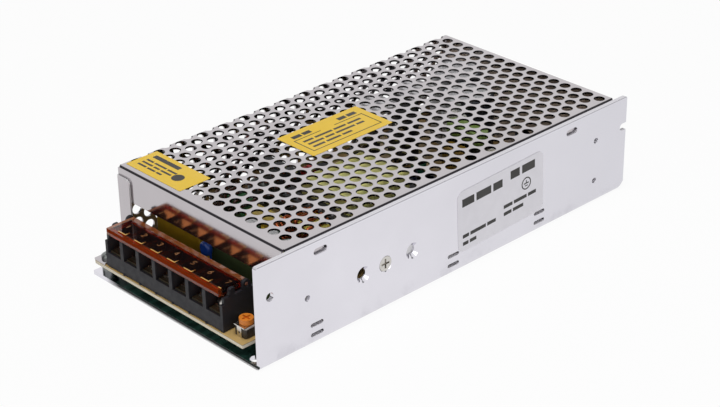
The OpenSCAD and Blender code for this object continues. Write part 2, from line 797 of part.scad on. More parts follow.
module selector_body() color([0.12, 0.12, 0.13]) corner() difference() {
    translate([selector_x0, selector_y0, board_top]) rounded_box([selector_w, selector_l, selector_h], 0.8);
    translate([selector_mid[0] - slider_w / 2 - slide_gap, slider_y0 - slide_gap, selector_top - slider_in])
        cube([slider_w + 2 * slide_gap, slider_l + selector_travel + 2 * slide_gap, slider_in + 1]);
}

module selector_slider() color([0.7, 0.08, 0.06]) corner() difference() {
    translate([selector_mid[0] - slider_w / 2, slider_y0, selector_top - slider_in])
        cube([slider_w, slider_l, slider_in + slider_h]);
    translate([selector_mid[0] - slider_w, slider_y0 + slider_l / 2 - 0.5, selector_top + slider_h - 0.8])
        cube([2 * slider_w, 1, 2]);
}

// Line input parts

module fuse() color([0.85, 0.86, 0.84]) corner()
    translate([fuse_x, fuse_y0, fuse_z]) rotate([-90, 0, 0]) {
        translate([0, 0, 1]) cylinder(d = fuse_d, h = fuse_l - 2);
        for (z = [0, fuse_l - cap_l]) translate([0, 0, z]) cylinder(d = cap_d, h = cap_l);
    }

// Spring clips with two cheeks, a floor on the board and a slot for the fuse cap
module fuse_clips() color([0.8, 0.78, 0.7]) corner()
    for (y = [fuse_y0 + 0.4, fuse_y0 + fuse_l - cap_l + 0.6])
    translate([fuse_x, y, 0]) {
        reach = cap_d / 2 + seam_gap;
        translate([-reach - clip_spring_t, 0, board_top])
            cube([2 * (reach + clip_spring_t), cap_l - 1, fuse_z - cap_d / 2 - seam_gap - board_top]);
        for (x = [-reach - clip_spring_t, reach])
            translate([x, 0, board_top]) cube([clip_spring_t, cap_l - 1, fuse_z + 1.6 - board_top]);
    }

// A dipped disc on two leads, standing across the case
module disc_part(d, t, z) {
    translate([0, 0, z]) rotate([90, 0, 0]) rotate_extrude() {
        translate([0, -t / 2]) square([d / 2 - t / 2, t]);
        translate([d / 2 - t / 2, 0]) circle(t / 2);
    }
    for (x = [-lead_pitch, lead_pitch])
        translate([x, 0, board_top]) cylinder(d = lead_d, h = z - board_top, $fn = 16);
}

module thermistor() color([0.1, 0.12, 0.1]) corner()
    translate([thermistor_at[0], thermistor_at[1], 0]) disc_part(thermistor_d, thermistor_t, thermistor_z);

module disc_capacitor() color([0.08, 0.25, 0.6]) corner()
    translate([disc_at[0], disc_at[1], 0]) disc_part(disc_d, disc_t, disc_z);

// A moulded box on two low feet
module line_capacitor() color([0.78, 0.62, 0.12]) corner()
    translate([line_cap[0], line_cap[1], board_top]) difference() {
        rounded_box(line_cap_size, 0.6);
        translate([line_cap_foot, -1, -1])
            cube([line_cap_size[0] - 2 * line_cap_foot, line_cap_size[1] + 2, 1 + line_cap_lift]);
    }

// A ring that stands on edge, with its axis along y, and a shell of turns over part of it
module ring_core(d, bore, t) rotate([90, 0, 0]) rotate_extrude()
    translate([bore / 2, -t / 2]) square([(d - bore) / 2, t]);

module ring_turns(d, bore, t, wire, from, sweep) rotate([90, 0, 0]) rotate(from)
    rotate_extrude(angle = sweep) difference() {
        translate([bore / 2 - wire, -t / 2 - wire]) square([(d - bore) / 2 + 2 * wire, t + 2 * wire]);
        translate([bore / 2 - seam_gap, -t / 2 - seam_gap])
            square([(d - bore) / 2 + 2 * seam_gap, t + 2 * seam_gap]);
    }

module line_choke_core() color([0.15, 0.4, 0.25]) corner()
    translate([choke_at[0], choke_at[1], board_top + choke_d / 2 + choke_wire])
        ring_core(choke_d, choke_bore, choke_t);

module line_choke_windings() color([0.72, 0.4, 0.2]) corner() for (from = choke_starts)
    translate([choke_at[0], choke_at[1], board_top + choke_d / 2 + choke_wire])
        ring_turns(choke_d, choke_bore, choke_t, choke_wire, from, choke_sweep);

module bridge_rectifier() color([0.12, 0.12, 0.13]) corner()
    translate([bridge_rect_at[0], bridge_rect_at[1], 0]) {
        translate([0, 0, board_top + bridge_rect_lift]) difference() {
            cube(bridge_rect_size);
            translate([bridge_rect_size[0], -1, bridge_rect_size[2] - bridge_rect_cut]) rotate([0, -45, 0])
                cube([2 * bridge_rect_cut, bridge_rect_size[1] + 2, 2 * bridge_rect_cut]);
        }
        for (i = [-1.5 : 1.5])
            translate([bridge_rect_size[0] / 2 + i * bridge_rect_pitch, bridge_rect_size[1] / 2, board_top])
                cylinder(d = lead_d, h = bridge_rect_lift + 1, $fn = 16);
    }

// Rear parts

module bulk_capacitor(i) color([0.12, 0.13, 0.16]) corner()
    translate([bulk_places[i][0], bulk_places[i][1], board_top]) radial_can(bulk_d, bulk_h);

// Bent from sheet and reaching just under the cover; its transistor lies against the front face
module heatsink(i) color([0.8, 0.8, 0.81]) corner()
    translate([cooler_places[i][0], cooler_places[i][1], board_top]) difference() {
        translate([-cooler_w / 2, 0, 0]) rotate([90, 0, 90]) linear_extrude(cooler_w) difference() {
            square([cooler_l, cooler_h]);
            translate([cooler_t, -1]) square([cooler_l, cooler_h - cooler_t + 1]);
            translate([cooler_t, cooler_h - cooler_t]) mirror([1, 0]) corner_scrap(cooler_t);
        }
        translate([0, -1, to_lift + to_hole_z()]) rotate([-90, 0, 0])
            cylinder(d = screw_d + 2 * screw_gap, h = cooler_t + 2);
    }

// A flat transistor with its leads down, back at y = 0 and body towards -y
module flat_transistor() {
    translate([-to_w / 2, -to_tab_t, 0]) difference() {
        cube([to_w, to_tab_t, to_h]);
        translate([to_w / 2, -1, to_hole_z()]) rotate([-90, 0, 0])
            cylinder(d = to_hole_d, h = to_tab_t + 2);
    }
    translate([-to_w / 2, -to_t, 0]) cube([to_w, to_t, to_body_h]);
}

module switching_transistor(i) color([0.14, 0.14, 0.15]) corner() {
    p = cooler_places[i];
    translate([p[0], p[1], board_top + to_lift]) flat_transistor();
    translate([p[0], to_lead_y(p), board_under - lead_below])
        linear_extrude(lead_below + board_t + to_lift + 1) pins_2d(lead_d);
}

// Main transformer, lying flat: the core's middle leg runs from front to rear through the coil

module transformer_core() color([0.2, 0.2, 0.21]) corner()
    translate([transformer_at[0], transformer_at[1], core_z]) linear_extrude(core_t) difference() {
        translate([-core_w / 2, -core_l / 2]) square([core_w, core_l]);
        for (x = [-middle_leg_w / 2 - window_w, middle_leg_w / 2])
            translate([x, -core_l / 2 + yoke_l]) square([window_w, core_l - 2 * yoke_l]);
    }

module transformer_coil() color([0.85, 0.8, 0.25]) corner()
    translate([transformer_at[0], transformer_at[1], coil_bottom]) {
        coil_l = core_l - 2 * yoke_l - 2 * coil_gap;
        w = middle_leg_w + 2 * coil_build;
        translate([0, -coil_l / 2, 0]) plate_xz(coil_l) difference() {
            translate([-w / 2, 0]) rounded_square([w, coil_h], 2);
            translate([-middle_leg_w / 2 - coil_gap, coil_build - coil_gap])
                square([middle_leg_w + 2 * coil_gap, core_t + 2 * coil_gap]);
        }
    }

module transformer_bobbin() color([0.16, 0.16, 0.17]) corner()
    translate([transformer_at[0], transformer_at[1], board_top]) {
        translate([-core_w / 2 + 4, -core_l / 2, 0]) cube([core_w - 8, core_l, bobbin_h]);
        for (y = [-core_l / 2, core_l / 2 - yoke_l])
            translate([-core_w / 2, y, bobbin_h - eps]) cube([core_w, yoke_l, coil_build + eps]);
    }

// Output choke, capacitors, rectifier

module output_choke_core() color([0.75, 0.72, 0.3]) corner()
    translate([ring_axis_at[0], ring_axis_at[1], ring_z]) ring_core(ring_d, ring_bore, ring_t);

module output_choke_winding() color([0.75, 0.42, 0.25]) corner()
    translate([ring_axis_at[0], ring_axis_at[1], ring_z])
        ring_turns(ring_d, ring_bore, ring_t, wire_t, ring_start, ring_sweep);

module output_capacitor(i) color([0.1, 0.14, 0.2]) corner()
    translate([out_cap_xs[i], out_cap_y, board_top]) radial_can(out_cap_d, out_cap_h);

module heat_spreader() color([0.85, 0.85, 0.87]) corner() difference() {
    translate([bar_x0, bar_y0, bar_z0]) cube([bar_t, bar_l, bar_top - bar_z0]);
    for (p = [[sink_ys[1], sink_z], [rect_y, rect_z + to_hole_z()]])
        translate([bar_x0 - 1, p[0], p[1]]) rotate([0, 90, 0])
            cylinder(d = screw_d + 2 * screw_gap, h = bar_t + 2);
}

module insulating_pad() color([0.7, 0.72, 0.75]) corner() difference() {
    translate([bar_x0 - pad_t, rect_y - to_w / 2 - pad_edge, rect_z - pad_edge])
        cube([pad_t, to_w + 2 * pad_edge, to_h + 2 * pad_edge]);
    translate([bar_x0 - 1, rect_y, rect_z + to_hole_z()]) rotate([0, 90, 0]) cylinder(d = to_hole_d, h = 2);
}

module output_rectifier() color([0.14, 0.14, 0.15]) corner() {
    translate([bar_x0 - pad_t, rect_y, rect_z]) rotate(-90) flat_transistor();
    translate([rect_lead_x, rect_y, board_under - lead_below]) rotate(90)
        linear_extrude(rect_z + 1 - board_under + lead_below) pins_2d(lead_d);
}

module clamp_screw() color([0.82, 0.82, 0.8]) corner()
    translate([case_w - 0.2, sink_ys[1], sink_z]) rotate([0, 90, 0]) difference() {
        depth = (sink_d - sink_bore_d) / 2;
        union() {
            translate([0, 0, -depth]) cylinder(d1 = sink_bore_d - 0.6, d2 = sink_d - 0.6, h = depth);
            translate([0, 0, -chassis_t - bar_t]) cylinder(d = screw_d, h = chassis_t + bar_t - depth + eps);
        }
        cross_recess(sink_d * 0.6, depth * 0.9);
    }

// Screws through the tabs of the flat devices
module device_screws() color([0.8, 0.8, 0.78]) corner() {
    for (p = cooler_places)
        translate([p[0], p[1] - to_tab_t, board_top + to_lift + to_hole_z()]) rotate([90, 0, 0])
            pan_screw(screw_d, to_tab_t + cooler_t, to_head_d, screw_head_h);
    translate([bar_x0 - pad_t - to_tab_t, rect_y, rect_z + to_hole_z()]) rotate([0, -90, 0])
        pan_screw(screw_d, to_tab_t + pad_t + bar_t, to_head_d, screw_head_h);
}

// Control board, standing on a row of pins
module control_board() color([0.08, 0.28, 0.18]) corner()
    translate([control_x0, control_y, board_top]) {
        translate([0, 0, body_lift]) plate_xz(control_t) difference() {
            square([control_w, control_h]);
            for (x = [-1, control_w - control_notch])
                translate([x, -1]) square([control_notch + 1, control_notch + 1]);
        }
        for (i = [0 : header_pins - 1])
            translate([control_notch + header_pitch * (i + 1), (control_t - header_w) / 2, 0])
                cube([header_w, header_w, body_lift + eps]);
    }

// A chip that lies against the board on two rows of bent legs
module control_chip() color([0.1, 0.1, 0.11]) corner()
    translate([control_x0 + chip_at[0], control_y + control_t, board_top + body_lift + chip_at[1]]) {
        difference() {
            translate([0, leg_out, 0]) cube(chip_size);
            translate([0, leg_out + chip_size[1], chip_size[2] / 2]) rotate([90, 0, 0])
                cylinder(r = 1, h = 1, $fn = 24);
        }
        for (i = [0 : chip_legs - 1], z = [-leg_out, chip_size[2] - eps])
            translate([(i + 0.5) * chip_size[0] / chip_legs - leg_w / 2, 0, z]) {
                reach = leg_out + chip_size[1] / 2;
                translate([0, 0, z < 0 ? 0 : leg_out - leg_t + eps]) cube([leg_w, reach, leg_t]);
                translate([0, reach - leg_t, 0]) cube([leg_w, leg_t, leg_out + eps]);
            }
    }

// A small transformer: two flanges, a coil between them and a core frame through it
module driver_transformer() color([0.7, 0.6, 0.2]) corner()
    translate([driver_at[0], driver_at[1], board_top]) {
        w = driver_size[0];
        l = driver_size[1];
        h = driver_size[2];
        coil = h - driver_yoke - 2 * driver_flange;
        for (z = [0, h - driver_yoke - driver_flange])
            translate([0, 0, z]) rounded_box([w, l, driver_flange], 0.8);
        translate([driver_yoke + driver_in, driver_in, driver_flange - eps])
            rounded_box([w - 2 * (driver_yoke + driver_in), l - 2 * driver_in, coil + 2 * eps], 2);
        translate([0, l / 4, 0]) plate_xz(l / 2) difference() {
            square([w, h]);
            translate([driver_yoke, -1]) square([w - 2 * driver_yoke, h - driver_yoke + 1]);
        }
    }

module body_lead() cylinder(d = lead_d, h = body_lift + 1, $fn = 16);

// A dipped body with rounded edges on two leads
module film_capacitor() color([0.35, 0.55, 0.2]) corner()
    translate([film_at[0], film_at[1], board_top]) {
        translate([0, 0, body_lift]) rounded_box(film_size, film_size[1] / 2 - 0.5);
        for (x = [0.2, 0.8]) translate([x * film_size[0], film_size[1] / 2, 0]) body_lead();
    }

// A ceramic trough filled with cement, on two leads
module cement_resistor() color([0.9, 0.9, 0.88]) corner()
    translate([cement_at[0], cement_at[1], board_top]) {
        translate([0, 0, body_lift]) difference() {
            cube(cement_size);
            translate([cement_wall, cement_wall, cement_size[2] - cement_wall / 2])
                cube([cement_size[0] - 2 * cement_wall, cement_size[1] - 2 * cement_wall, cement_wall]);
        }
        for (x = [0.1, 0.9]) translate([x * cement_size[0], cement_size[1] / 2, 0]) body_lead();
    }

chassis();
cover();
cover_screw();
main_board();
board_spacers();
board_screws();
terminal_block();
terminal_contacts();
terminal_guard();
for (i = [0 : poles - 1]) {
    terminal_screw(i);
    clamp_washer(i);
}
trimmer_base();
trimmer_clip();
trimmer_rotor();
selector_body();
selector_slider();
fuse();
fuse_clips();
thermistor();
line_capacitor();
disc_capacitor();
line_choke_core();
line_choke_windings();
bridge_rectifier();
for (i = [0, 1]) {
    bulk_capacitor(i);
    heatsink(i);
    switching_transistor(i);
}
transformer_core();
transformer_bobbin();
transformer_coil();
output_choke_core();
output_choke_winding();
for (i = [0 : len(out_cap_xs) - 1])
    output_capacitor(i);
heat_spreader();
insulating_pad();
output_rectifier();
clamp_screw();
device_screws();
control_board();
control_chip();
driver_transformer();
film_capacitor();
cement_resistor();
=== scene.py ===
import json
import math
import random

import bpy
from mathutils import Matrix, Vector


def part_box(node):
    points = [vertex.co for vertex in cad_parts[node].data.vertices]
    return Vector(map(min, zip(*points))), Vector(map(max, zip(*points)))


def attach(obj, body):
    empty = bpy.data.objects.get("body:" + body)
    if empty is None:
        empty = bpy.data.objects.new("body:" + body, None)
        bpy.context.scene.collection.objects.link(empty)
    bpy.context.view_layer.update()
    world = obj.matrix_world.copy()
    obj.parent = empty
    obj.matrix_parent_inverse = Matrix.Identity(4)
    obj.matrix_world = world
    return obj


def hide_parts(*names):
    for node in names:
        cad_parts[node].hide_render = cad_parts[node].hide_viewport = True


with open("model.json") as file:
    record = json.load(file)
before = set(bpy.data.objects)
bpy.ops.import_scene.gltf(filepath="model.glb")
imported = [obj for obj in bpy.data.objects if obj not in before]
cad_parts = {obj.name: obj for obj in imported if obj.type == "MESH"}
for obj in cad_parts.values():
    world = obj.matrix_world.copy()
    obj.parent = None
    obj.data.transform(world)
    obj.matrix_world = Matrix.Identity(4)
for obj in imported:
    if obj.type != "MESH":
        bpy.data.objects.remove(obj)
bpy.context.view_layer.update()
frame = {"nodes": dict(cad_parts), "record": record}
nodes = frame["nodes"]
scene = bpy.context.scene
rng = random.Random(7)

MM = 0.001
UP = Vector((0, 0, 1))
POLES = 7

corner_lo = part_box("chassis")[0]


def at(x, y, z):
    """A place counted from the left front bottom corner of the case, in millimetres."""
    return corner_lo + Vector((x, y, z)) * MM


def case_box(node):
    """A node's lowest and highest corners, in millimetres from the same corner of the case."""
    return [(corner - corner_lo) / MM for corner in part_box(node)]


def lin(r, g, b):
    """An 8-bit colour as linear light."""
    return tuple(c / 3294.6 if c <= 10 else ((c / 255 + 0.055) / 1.055) ** 2.4 for c in (r, g, b))


def shade(colour, factor):
    return tuple(min(1.0, c * factor) for c in colour)


def circle(x, y, r, sides):
    turns = [math.tau * k / sides for k in range(sides)]
    return [(x + r * math.cos(t), y + r * math.sin(t)) for t in turns]


# Levels in millimetres above the foot of the case; the guard's raised marks stand above its top
wall_top = case_box("chassis")[1].z
board_under, board_top = (corner.z for corner in case_box("main_board"))
case_top = case_box("cover")[1].z
mark_height = 0.4
guard_top = case_box("terminal_guard")[1].z - mark_height


# Looks


class Tree:
    """Short ways to add shader nodes to a material or a world, and to join them."""

    def __init__(self, owner):
        owner.use_nodes = True
        self.tree = owner.node_tree
        self.tree.nodes.clear()

    def node(self, kind, **values):
        made = self.tree.nodes.new(kind)
        for key, value in values.items():
            setattr(made, key, value)
        return made

    def join(self, a, b):
        self.tree.links.new(a, b)

    def put(self, socket, value):
        """Join an output to a socket, or set the socket's own value."""
        if hasattr(value, "is_linked"):
            self.join(value, socket)
        else:
            socket.default_value = value

    def math(self, what, a, b=0.0):
        made = self.node("ShaderNodeMath", operation=what)
        self.put(made.inputs[0], a)
        self.put(made.inputs[1], b)
        return made.outputs[0]

    def span(self, value, lo, hi, to_lo=0.0, to_hi=1.0):
        """Map lo to to_lo and hi to to_hi, and hold those values beyond them."""
        made = self.node("ShaderNodeMapRange")
        self.put(made.inputs["Value"], value)
        for key, number in (("From Min", lo), ("From Max", hi), ("To Min", to_lo), ("To Max", to_hi)):
            made.inputs[key].default_value = number
        return made.outputs[0]

    def mix(self, share, a, b):
        made = self.node("ShaderNodeMix", data_type="RGBA")
        self.put(made.inputs[0], share)
        for socket, value in ((made.inputs[6], a), (made.inputs[7], b)):
            self.put(socket, value if hasattr(value, "is_linked") else (*value, 1.0))
        return made.outputs[2]

    def both(self, *masks):
        """The product of masks: 1 only where all are 1."""
        found = masks[0]
        for mask in masks[1:]:
            found = self.math("MULTIPLY", found, mask)
        return found


class Look(Tree):
    """One procedural material: a principled shader over object coordinates in metres."""

    def __init__(self, name, colour, rough, metallic=0.0):
        self.mat = bpy.data.materials.new(name)
        super().__init__(self.mat)
        self.out = self.node("ShaderNodeOutputMaterial")
        self.shader = self.node("ShaderNodeBsdfPrincipled")
        self.join(self.shader.outputs[0], self.out.inputs["Surface"])
        self.set("Base Color", (*colour, 1.0))
        self.set("Roughness", rough)
        self.set("Metallic", metallic)
        self.coords = self.node("ShaderNodeTexCoord")
        self.parts = {}

    def set(self, name, value):
        self.put(self.shader.inputs[name], value)

    def part(self, output, letter):
        """One part of a texture coordinate, x, y or z."""
        if output not in self.parts:
            split = self.node("ShaderNodeSeparateXYZ")
            self.join(self.coords.outputs[output], split.inputs[0])
            self.parts[output] = dict(zip("xyz", split.outputs))
        return self.parts[output][letter]

    def axis(self, letter):
        return self.part("Object", letter)

    def normal(self, letter):
        return self.part("Normal", letter)

    def past(self, letter, start, end, most=1.0):
        """A mask along an axis, 0 at start and most at end, in millimetres from the case's corner."""
        zero = corner_lo["xyz".index(letter)]
        return self.span(self.axis(letter), zero + start * MM, zero + end * MM, 0.0, most)

    def facing(self, letter, start, end):
        """A mask by one part of the face's normal, 0 at start and 1 at end."""
        return self.span(self.normal(letter), start, end)

    def from_line(self, centre):
        """Distance from the upright line through centre, in metres."""
        shift = self.node("ShaderNodeVectorMath", operation="SUBTRACT")
        self.join(self.coords.outputs["Object"], shift.inputs[0])
        shift.inputs[1].default_value = centre
        flat = self.node("ShaderNodeVectorMath", operation="MULTIPLY")
        self.join(shift.outputs[0], flat.inputs[0])
        flat.inputs[1].default_value = (1, 1, 0)
        size = self.node("ShaderNodeVectorMath", operation="LENGTH")
        self.join(flat.outputs[0], size.inputs[0])
        return size.outputs["Value"]

    def noise(self, scale=1.0, detail=3.0, stretch=(1, 1, 1), rough=0.55):
        place = self.node("ShaderNodeMapping")
        self.join(self.coords.outputs["Object"], place.inputs["Vector"])
        place.inputs["Scale"].default_value = [scale * k for k in stretch]
        made = self.node("ShaderNodeTexNoise")
        self.join(place.outputs[0], made.inputs["Vector"])
        made.inputs["Scale"].default_value = 1.0
        made.inputs["Detail"].default_value = detail
        made.inputs["Roughness"].default_value = rough
        return made.outputs[0]

    def spread(self, noise, low=0.0, high=1.0):
        """Stretch the middle range of a noise from low to high."""
        return self.span(noise, 0.3, 0.7, low, high)

    def tones(self, share, colour, dark, light):
        """A colour between a darker and a lighter shade of itself."""
        return self.mix(share, shade(colour, dark), shade(colour, light))

    def bump(self, height, depth, strength):
        """Raise the surface by a height map, depth in millimetres."""
        made = self.node("ShaderNodeBump")
        self.join(height, made.inputs["Height"])
        made.inputs["Distance"].default_value = depth * MM
        made.inputs["Strength"].default_value = strength
        self.set("Normal", made.outputs[0])

    def over(self, mask, colour):
        """Mix one more colour over the base colour where mask is 1."""
        base = self.shader.inputs["Base Color"].links[0].from_socket
        self.set("Base Color", self.mix(mask, base, colour))


def sheet_metal(name, colour, rough, grain, marks):
    """Bright rolled sheet: fine grain one way, cloudy sheen, a few scuffs."""
    look = Look(name, colour, rough, 1.0)
    cloud = look.noise(scale=22, detail=4)
    scuff = look.noise(scale=140, detail=6, stretch=(1, 0.35, 1), rough=0.7)
    look.set("Base Color", look.tones(look.spread(cloud), colour, 0.95, 1.04))
    spots = look.span(scuff, 0.6, 0.78, 0.0, marks)
    look.set("Roughness", look.math("ADD", look.spread(cloud, rough * 0.8, rough * 1.25), spots))
    look.bump(look.noise(detail=2, stretch=grain), depth=0.006, strength=0.5)
    return look


def plastic(name, colour, rough, depth=0.02, scale=2600):
    """Moulded plastic: slight tone changes and a fine skin."""
    look = Look(name, colour, rough)
    look.set("Base Color", look.tones(look.spread(look.noise(scale=160, detail=4)), colour, 0.86, 1.12))
    look.set("Roughness", look.spread(look.noise(scale=420), rough * 0.85, rough * 1.2))
    look.bump(look.noise(scale=scale, detail=2), depth, strength=0.6)
    return look


def dipped(name, colour, rough):
    """A dipped coat: plastic with a coarser, deeper skin."""
    return plastic(name, colour, rough, depth=0.03, scale=700)


def plated(name, colour, rough):
    """Plated turned metal with fine scratches and dull spots."""
    look = Look(name, colour, rough, 1.0)
    look.set("Base Color", look.tones(look.noise(scale=500, detail=4), colour, 0.82, 1.08))
    look.set("Roughness", look.span(look.noise(scale=900, detail=5), 0.35, 0.7, rough * 0.7, rough * 1.5))
    look.bump(look.noise(detail=2, stretch=(6000, 900, 6000)), depth=0.008, strength=0.5)
    return look


def paper(name, colour, rough=0.42):
    """A printed foil sticker: even colour with faint fibres."""
    look = Look(name, colour, rough)
    look.set("Base Color", look.tones(look.noise(scale=260, detail=5), colour, 0.93, 1.05))
    look.set("Roughness", look.spread(look.noise(scale=90), rough * 0.85, rough * 1.2))
    look.bump(look.noise(scale=1500), depth=0.012, strength=0.5)
    return look


# In the looks of single nodes, a named pair is where a mask starts and where it is full
def cover_look():
    """The cover's sheet, darker on hole walls and matt in the slot beside the lip; inside the rear panel it
    is matt, with a pale warm colour that is painted light.
    """
    sheet = 0.8
    under = case_top - sheet
    slot_rear, slot_right, slot_low, slot_high = (16.4, 16.2), (13, 12.8), (20.2, 20.5), (40.5, 40.2)
    panel_front = (190, 190.2)
    look = sheet_metal("cover_sheet", lin(188, 183, 186), 0.1, grain=(60, 5200, 5200), marks=0.1)
    steep = look.span(look.math("ABSOLUTE", look.normal("z")), 0.3, 0.25)
    look.over(look.both(look.past("z", under - 0.04, under), steep), lin(92, 90, 92))
    inward = look.span(look.math("MAXIMUM", look.normal("x"), look.normal("z")), 0.4, 0.6)
    slot = look.both(look.past("y", *slot_rear), look.past("x", *slot_right), look.past("z", *slot_low),
                     look.past("z", *slot_high), inward)
    look.over(slot, lin(206, 204, 206))
    # Painted light: the inside of the rear panel is a pale warm matt colour that brightens the shaded
    # interior.
    inside = look.both(look.past("y", *panel_front), look.facing("y", -0.5, -0.7),
                       look.past("z", under - 0.1, under - 0.2))
    look.over(inside, lin(212, 194, 178))
    look.set("Metallic", look.math("SUBTRACT", 1.0, look.math("MAXIMUM", slot, inside)))
    return look


def chassis_look():
    """The chassis' sheet, matt on the wall's top, slot and hole walls; painted shade darkens the base's front
    cut, with a painted highlight along its top, a painted reflection of the floor at its foot, and a painted
    shade line along the wall's top edge.
    """
    base_top, base_left, painted_highlight_line, painted_floor_reflection = (2.1, 2.0), (8, 16), (1.6, 1.7), (1.0, 0.4)
    wall_inside, fold_top, rear_part, low_part = (96, 96.2), (2.4, 2.6), (60, 190), (8, 1)
    rear_share, spot_share = 0.6, 0.5
    look = sheet_metal("chassis_sheet", lin(221, 219, 226), 0.11, grain=(5200, 70, 5200), marks=0.2)
    front = look.both(look.facing("y", -0.5, -0.6), look.past("z", *base_top), look.past("x", *base_left))
    off_side = look.span(look.math("ABSOLUTE", look.normal("x")), 0.4, 0.3)
    across = look.both(off_side, look.past("x", *wall_inside), look.past("z", *fold_top),
                       look.facing("y", -0.9, -0.8))
    outer = look.facing("x", 0.5, 0.6)
    look.over(look.both(outer, look.past("y", *rear_part, most=rear_share)), lin(208, 207, 214))
    spots = look.span(look.noise(scale=70, detail=5, rough=0.7), 0.52, 0.66, 0.0, spot_share)
    look.over(look.both(outer, look.past("z", *low_part), spots), lin(190, 188, 196))
    # Painted shade: a thin grey line along the outer face just under the wall's top edge.
    look.over(look.both(outer, look.past("z", wall_top - 0.4, wall_top - 0.3)), lin(168, 166, 172))
    look.over(across, lin(222, 220, 226))
    # Painted shade: the base's front cut is dark, with a painted highlight along its top edge and a painted
    # reflection of the pale floor along its foot.
    look.over(front, lin(26, 28, 28))
    look.over(look.both(front, look.past("z", *painted_highlight_line)), lin(84, 98, 92))
    look.over(look.both(front, look.past("z", *painted_floor_reflection)), lin(226, 226, 227))
    look.set("Metallic", look.math("SUBTRACT", 1.0, look.math("MAXIMUM", front, across)))
    look.set("Specular IOR Level", look.span(front, 0.0, 1.0, 0.5, 0.06))
    return look


def cooler_look(node):
    """A bent plate: pale and matt on its top flange, and dark below it as painted shade."""
    flange, soft = 2.0, 0.1
    start = case_box(node)[1].z - flange
    look = sheet_metal(node, lin(240, 239, 241), 0.42, grain=(4200, 60, 4200), marks=0.15)
    below = look.past("z", start + soft, start - soft)
    # Painted shade: the plate below the flange is dark.
    look.over(below, lin(30, 30, 33))
    look.set("Metallic", look.span(below, 0.0, 1.0, 0.2, 0.0))
    return look


def amber_look():
    """Clear amber plastic that darkens with depth; its walls scatter orange, and its raised marks carry a
    painted highlight, lighter at their front ends.
    """
    lo, hi = case_box("terminal_guard")
    clear, deep = (1.0, 0.9, 0.76), (0.62, 0.1, 0.012)
    rear_tone, left_tone, face_tone = (0.66, 0.2, 0.06), (0.6, 0.26, 0.14), (0.24, 0.03, 0.005)
    near_highlight, far_highlight = lin(226, 176, 102), lin(132, 86, 44)
    front_share, rear_share, left_share = 0.2, 0.3, 0.5
    look = Look("amber", clear, 0.05)
    front = look.past("y", lo.y + 1.9, lo.y + 1.6)
    rear = look.past("y", hi.y - 2.4, hi.y - 2.1)
    left = look.past("x", lo.x + 3.1, lo.x + 2.6)
    face = look.both(look.facing("y", -0.5, -0.7), look.past("z", lo.z + 0.9, lo.z + 1.2), front)
    ridge = look.both(look.past("z", guard_top + 0.04, guard_top + 0.06), look.facing("z", 0.5, 0.7))
    body = look.mix(front, clear, deep)
    for mask, tone in ((rear, rear_tone), (left, left_tone), (face, face_tone)):
        body = look.mix(mask, body, tone)
    # Painted highlight: the raised marks are gold, lighter at their front ends.
    mark = look.mix(look.past("y", lo.y + 2.3, lo.y + 2.6), near_highlight, far_highlight)
    look.set("Base Color", look.mix(ridge, body, mark))
    cloudy = look.math("MAXIMUM", face, ridge)
    for mask, share in ((front, front_share), (rear, rear_share), (left, left_share)):
        cloudy = look.math("MAXIMUM", cloudy, look.math("MULTIPLY", mask, share))
    look.set("Transmission Weight", look.math("SUBTRACT", 1.0, cloudy))
    look.set("Specular IOR Level", look.span(face, 0.0, 1.0, 0.5, 0.0))
    look.set("IOR", 1.5)
    look.set("Roughness", look.spread(look.noise(scale=300, detail=4), 0.03, 0.07))
    look.bump(look.noise(scale=500), depth=0.01, strength=0.35)
    depth = look.node("ShaderNodeVolumeAbsorption")
    depth.inputs["Color"].default_value = (0.86, 0.46, 0.08, 1.0)
    depth.inputs["Density"].default_value = 1500.0
    look.join(depth.outputs[0], look.out.inputs["Volume"])
    return look


def board_look(name, top, under, edge, mark):
    """Board laminate: one colour above, solder mask below, raw fibres on the cut edge."""
    look = Look(name, top, 0.45)
    weave = look.noise(stretch=(900, 900, 2400))
    upper = look.tones(look.spread(look.noise(scale=120, detail=4)), top, 0.88, 1.1)
    marks = look.span(look.noise(detail=1, stretch=(34, 260, 1)), 0.62, 0.64, 0.0, 0.5)
    upper = look.mix(marks, upper, mark)
    tracks = look.span(look.noise(detail=1, stretch=(300, 60, 1)), 0.48, 0.5)
    lower = look.tones(tracks, under, 1.0, 1.9)
    body = look.mix(look.facing("z", 0.4, 0.6), look.tones(weave, edge, 0.86, 1.08), upper)
    look.set("Base Color", look.mix(look.facing("z", -0.4, -0.6), body, lower))
    look.set("Roughness", look.spread(weave, 0.36, 0.6))
    look.bump(weave, depth=0.03, strength=0.5)
    return look


def main_board_look():
    """The main laminate, with painted shade darkening its top behind the terminal block and browning the top
    of its cut edge.
    """
    block_rear, shade_share = (18, 30), 0.6
    look = board_look("board_laminate", top=lin(200, 166, 104), under=lin(52, 92, 78),
                      edge=lin(242, 232, 210), mark=lin(232, 226, 208))
    behind = look.both(look.past("y", *block_rear), look.facing("z", 0.4, 0.6))
    # Painted shade: the top is darker behind the terminal block, under the cover.
    look.over(look.math("MULTIPLY", shade_share, behind), lin(92, 76, 48))
    edge_top_shade = look.both(look.past("z", board_top - 0.35, board_top - 0.25), look.facing("z", 0.6, 0.4))
    # Painted shade: a brown strip along the top of the cut edge stands in for the shaded top of the board.
    look.over(edge_top_shade, lin(170, 150, 116))
    return look


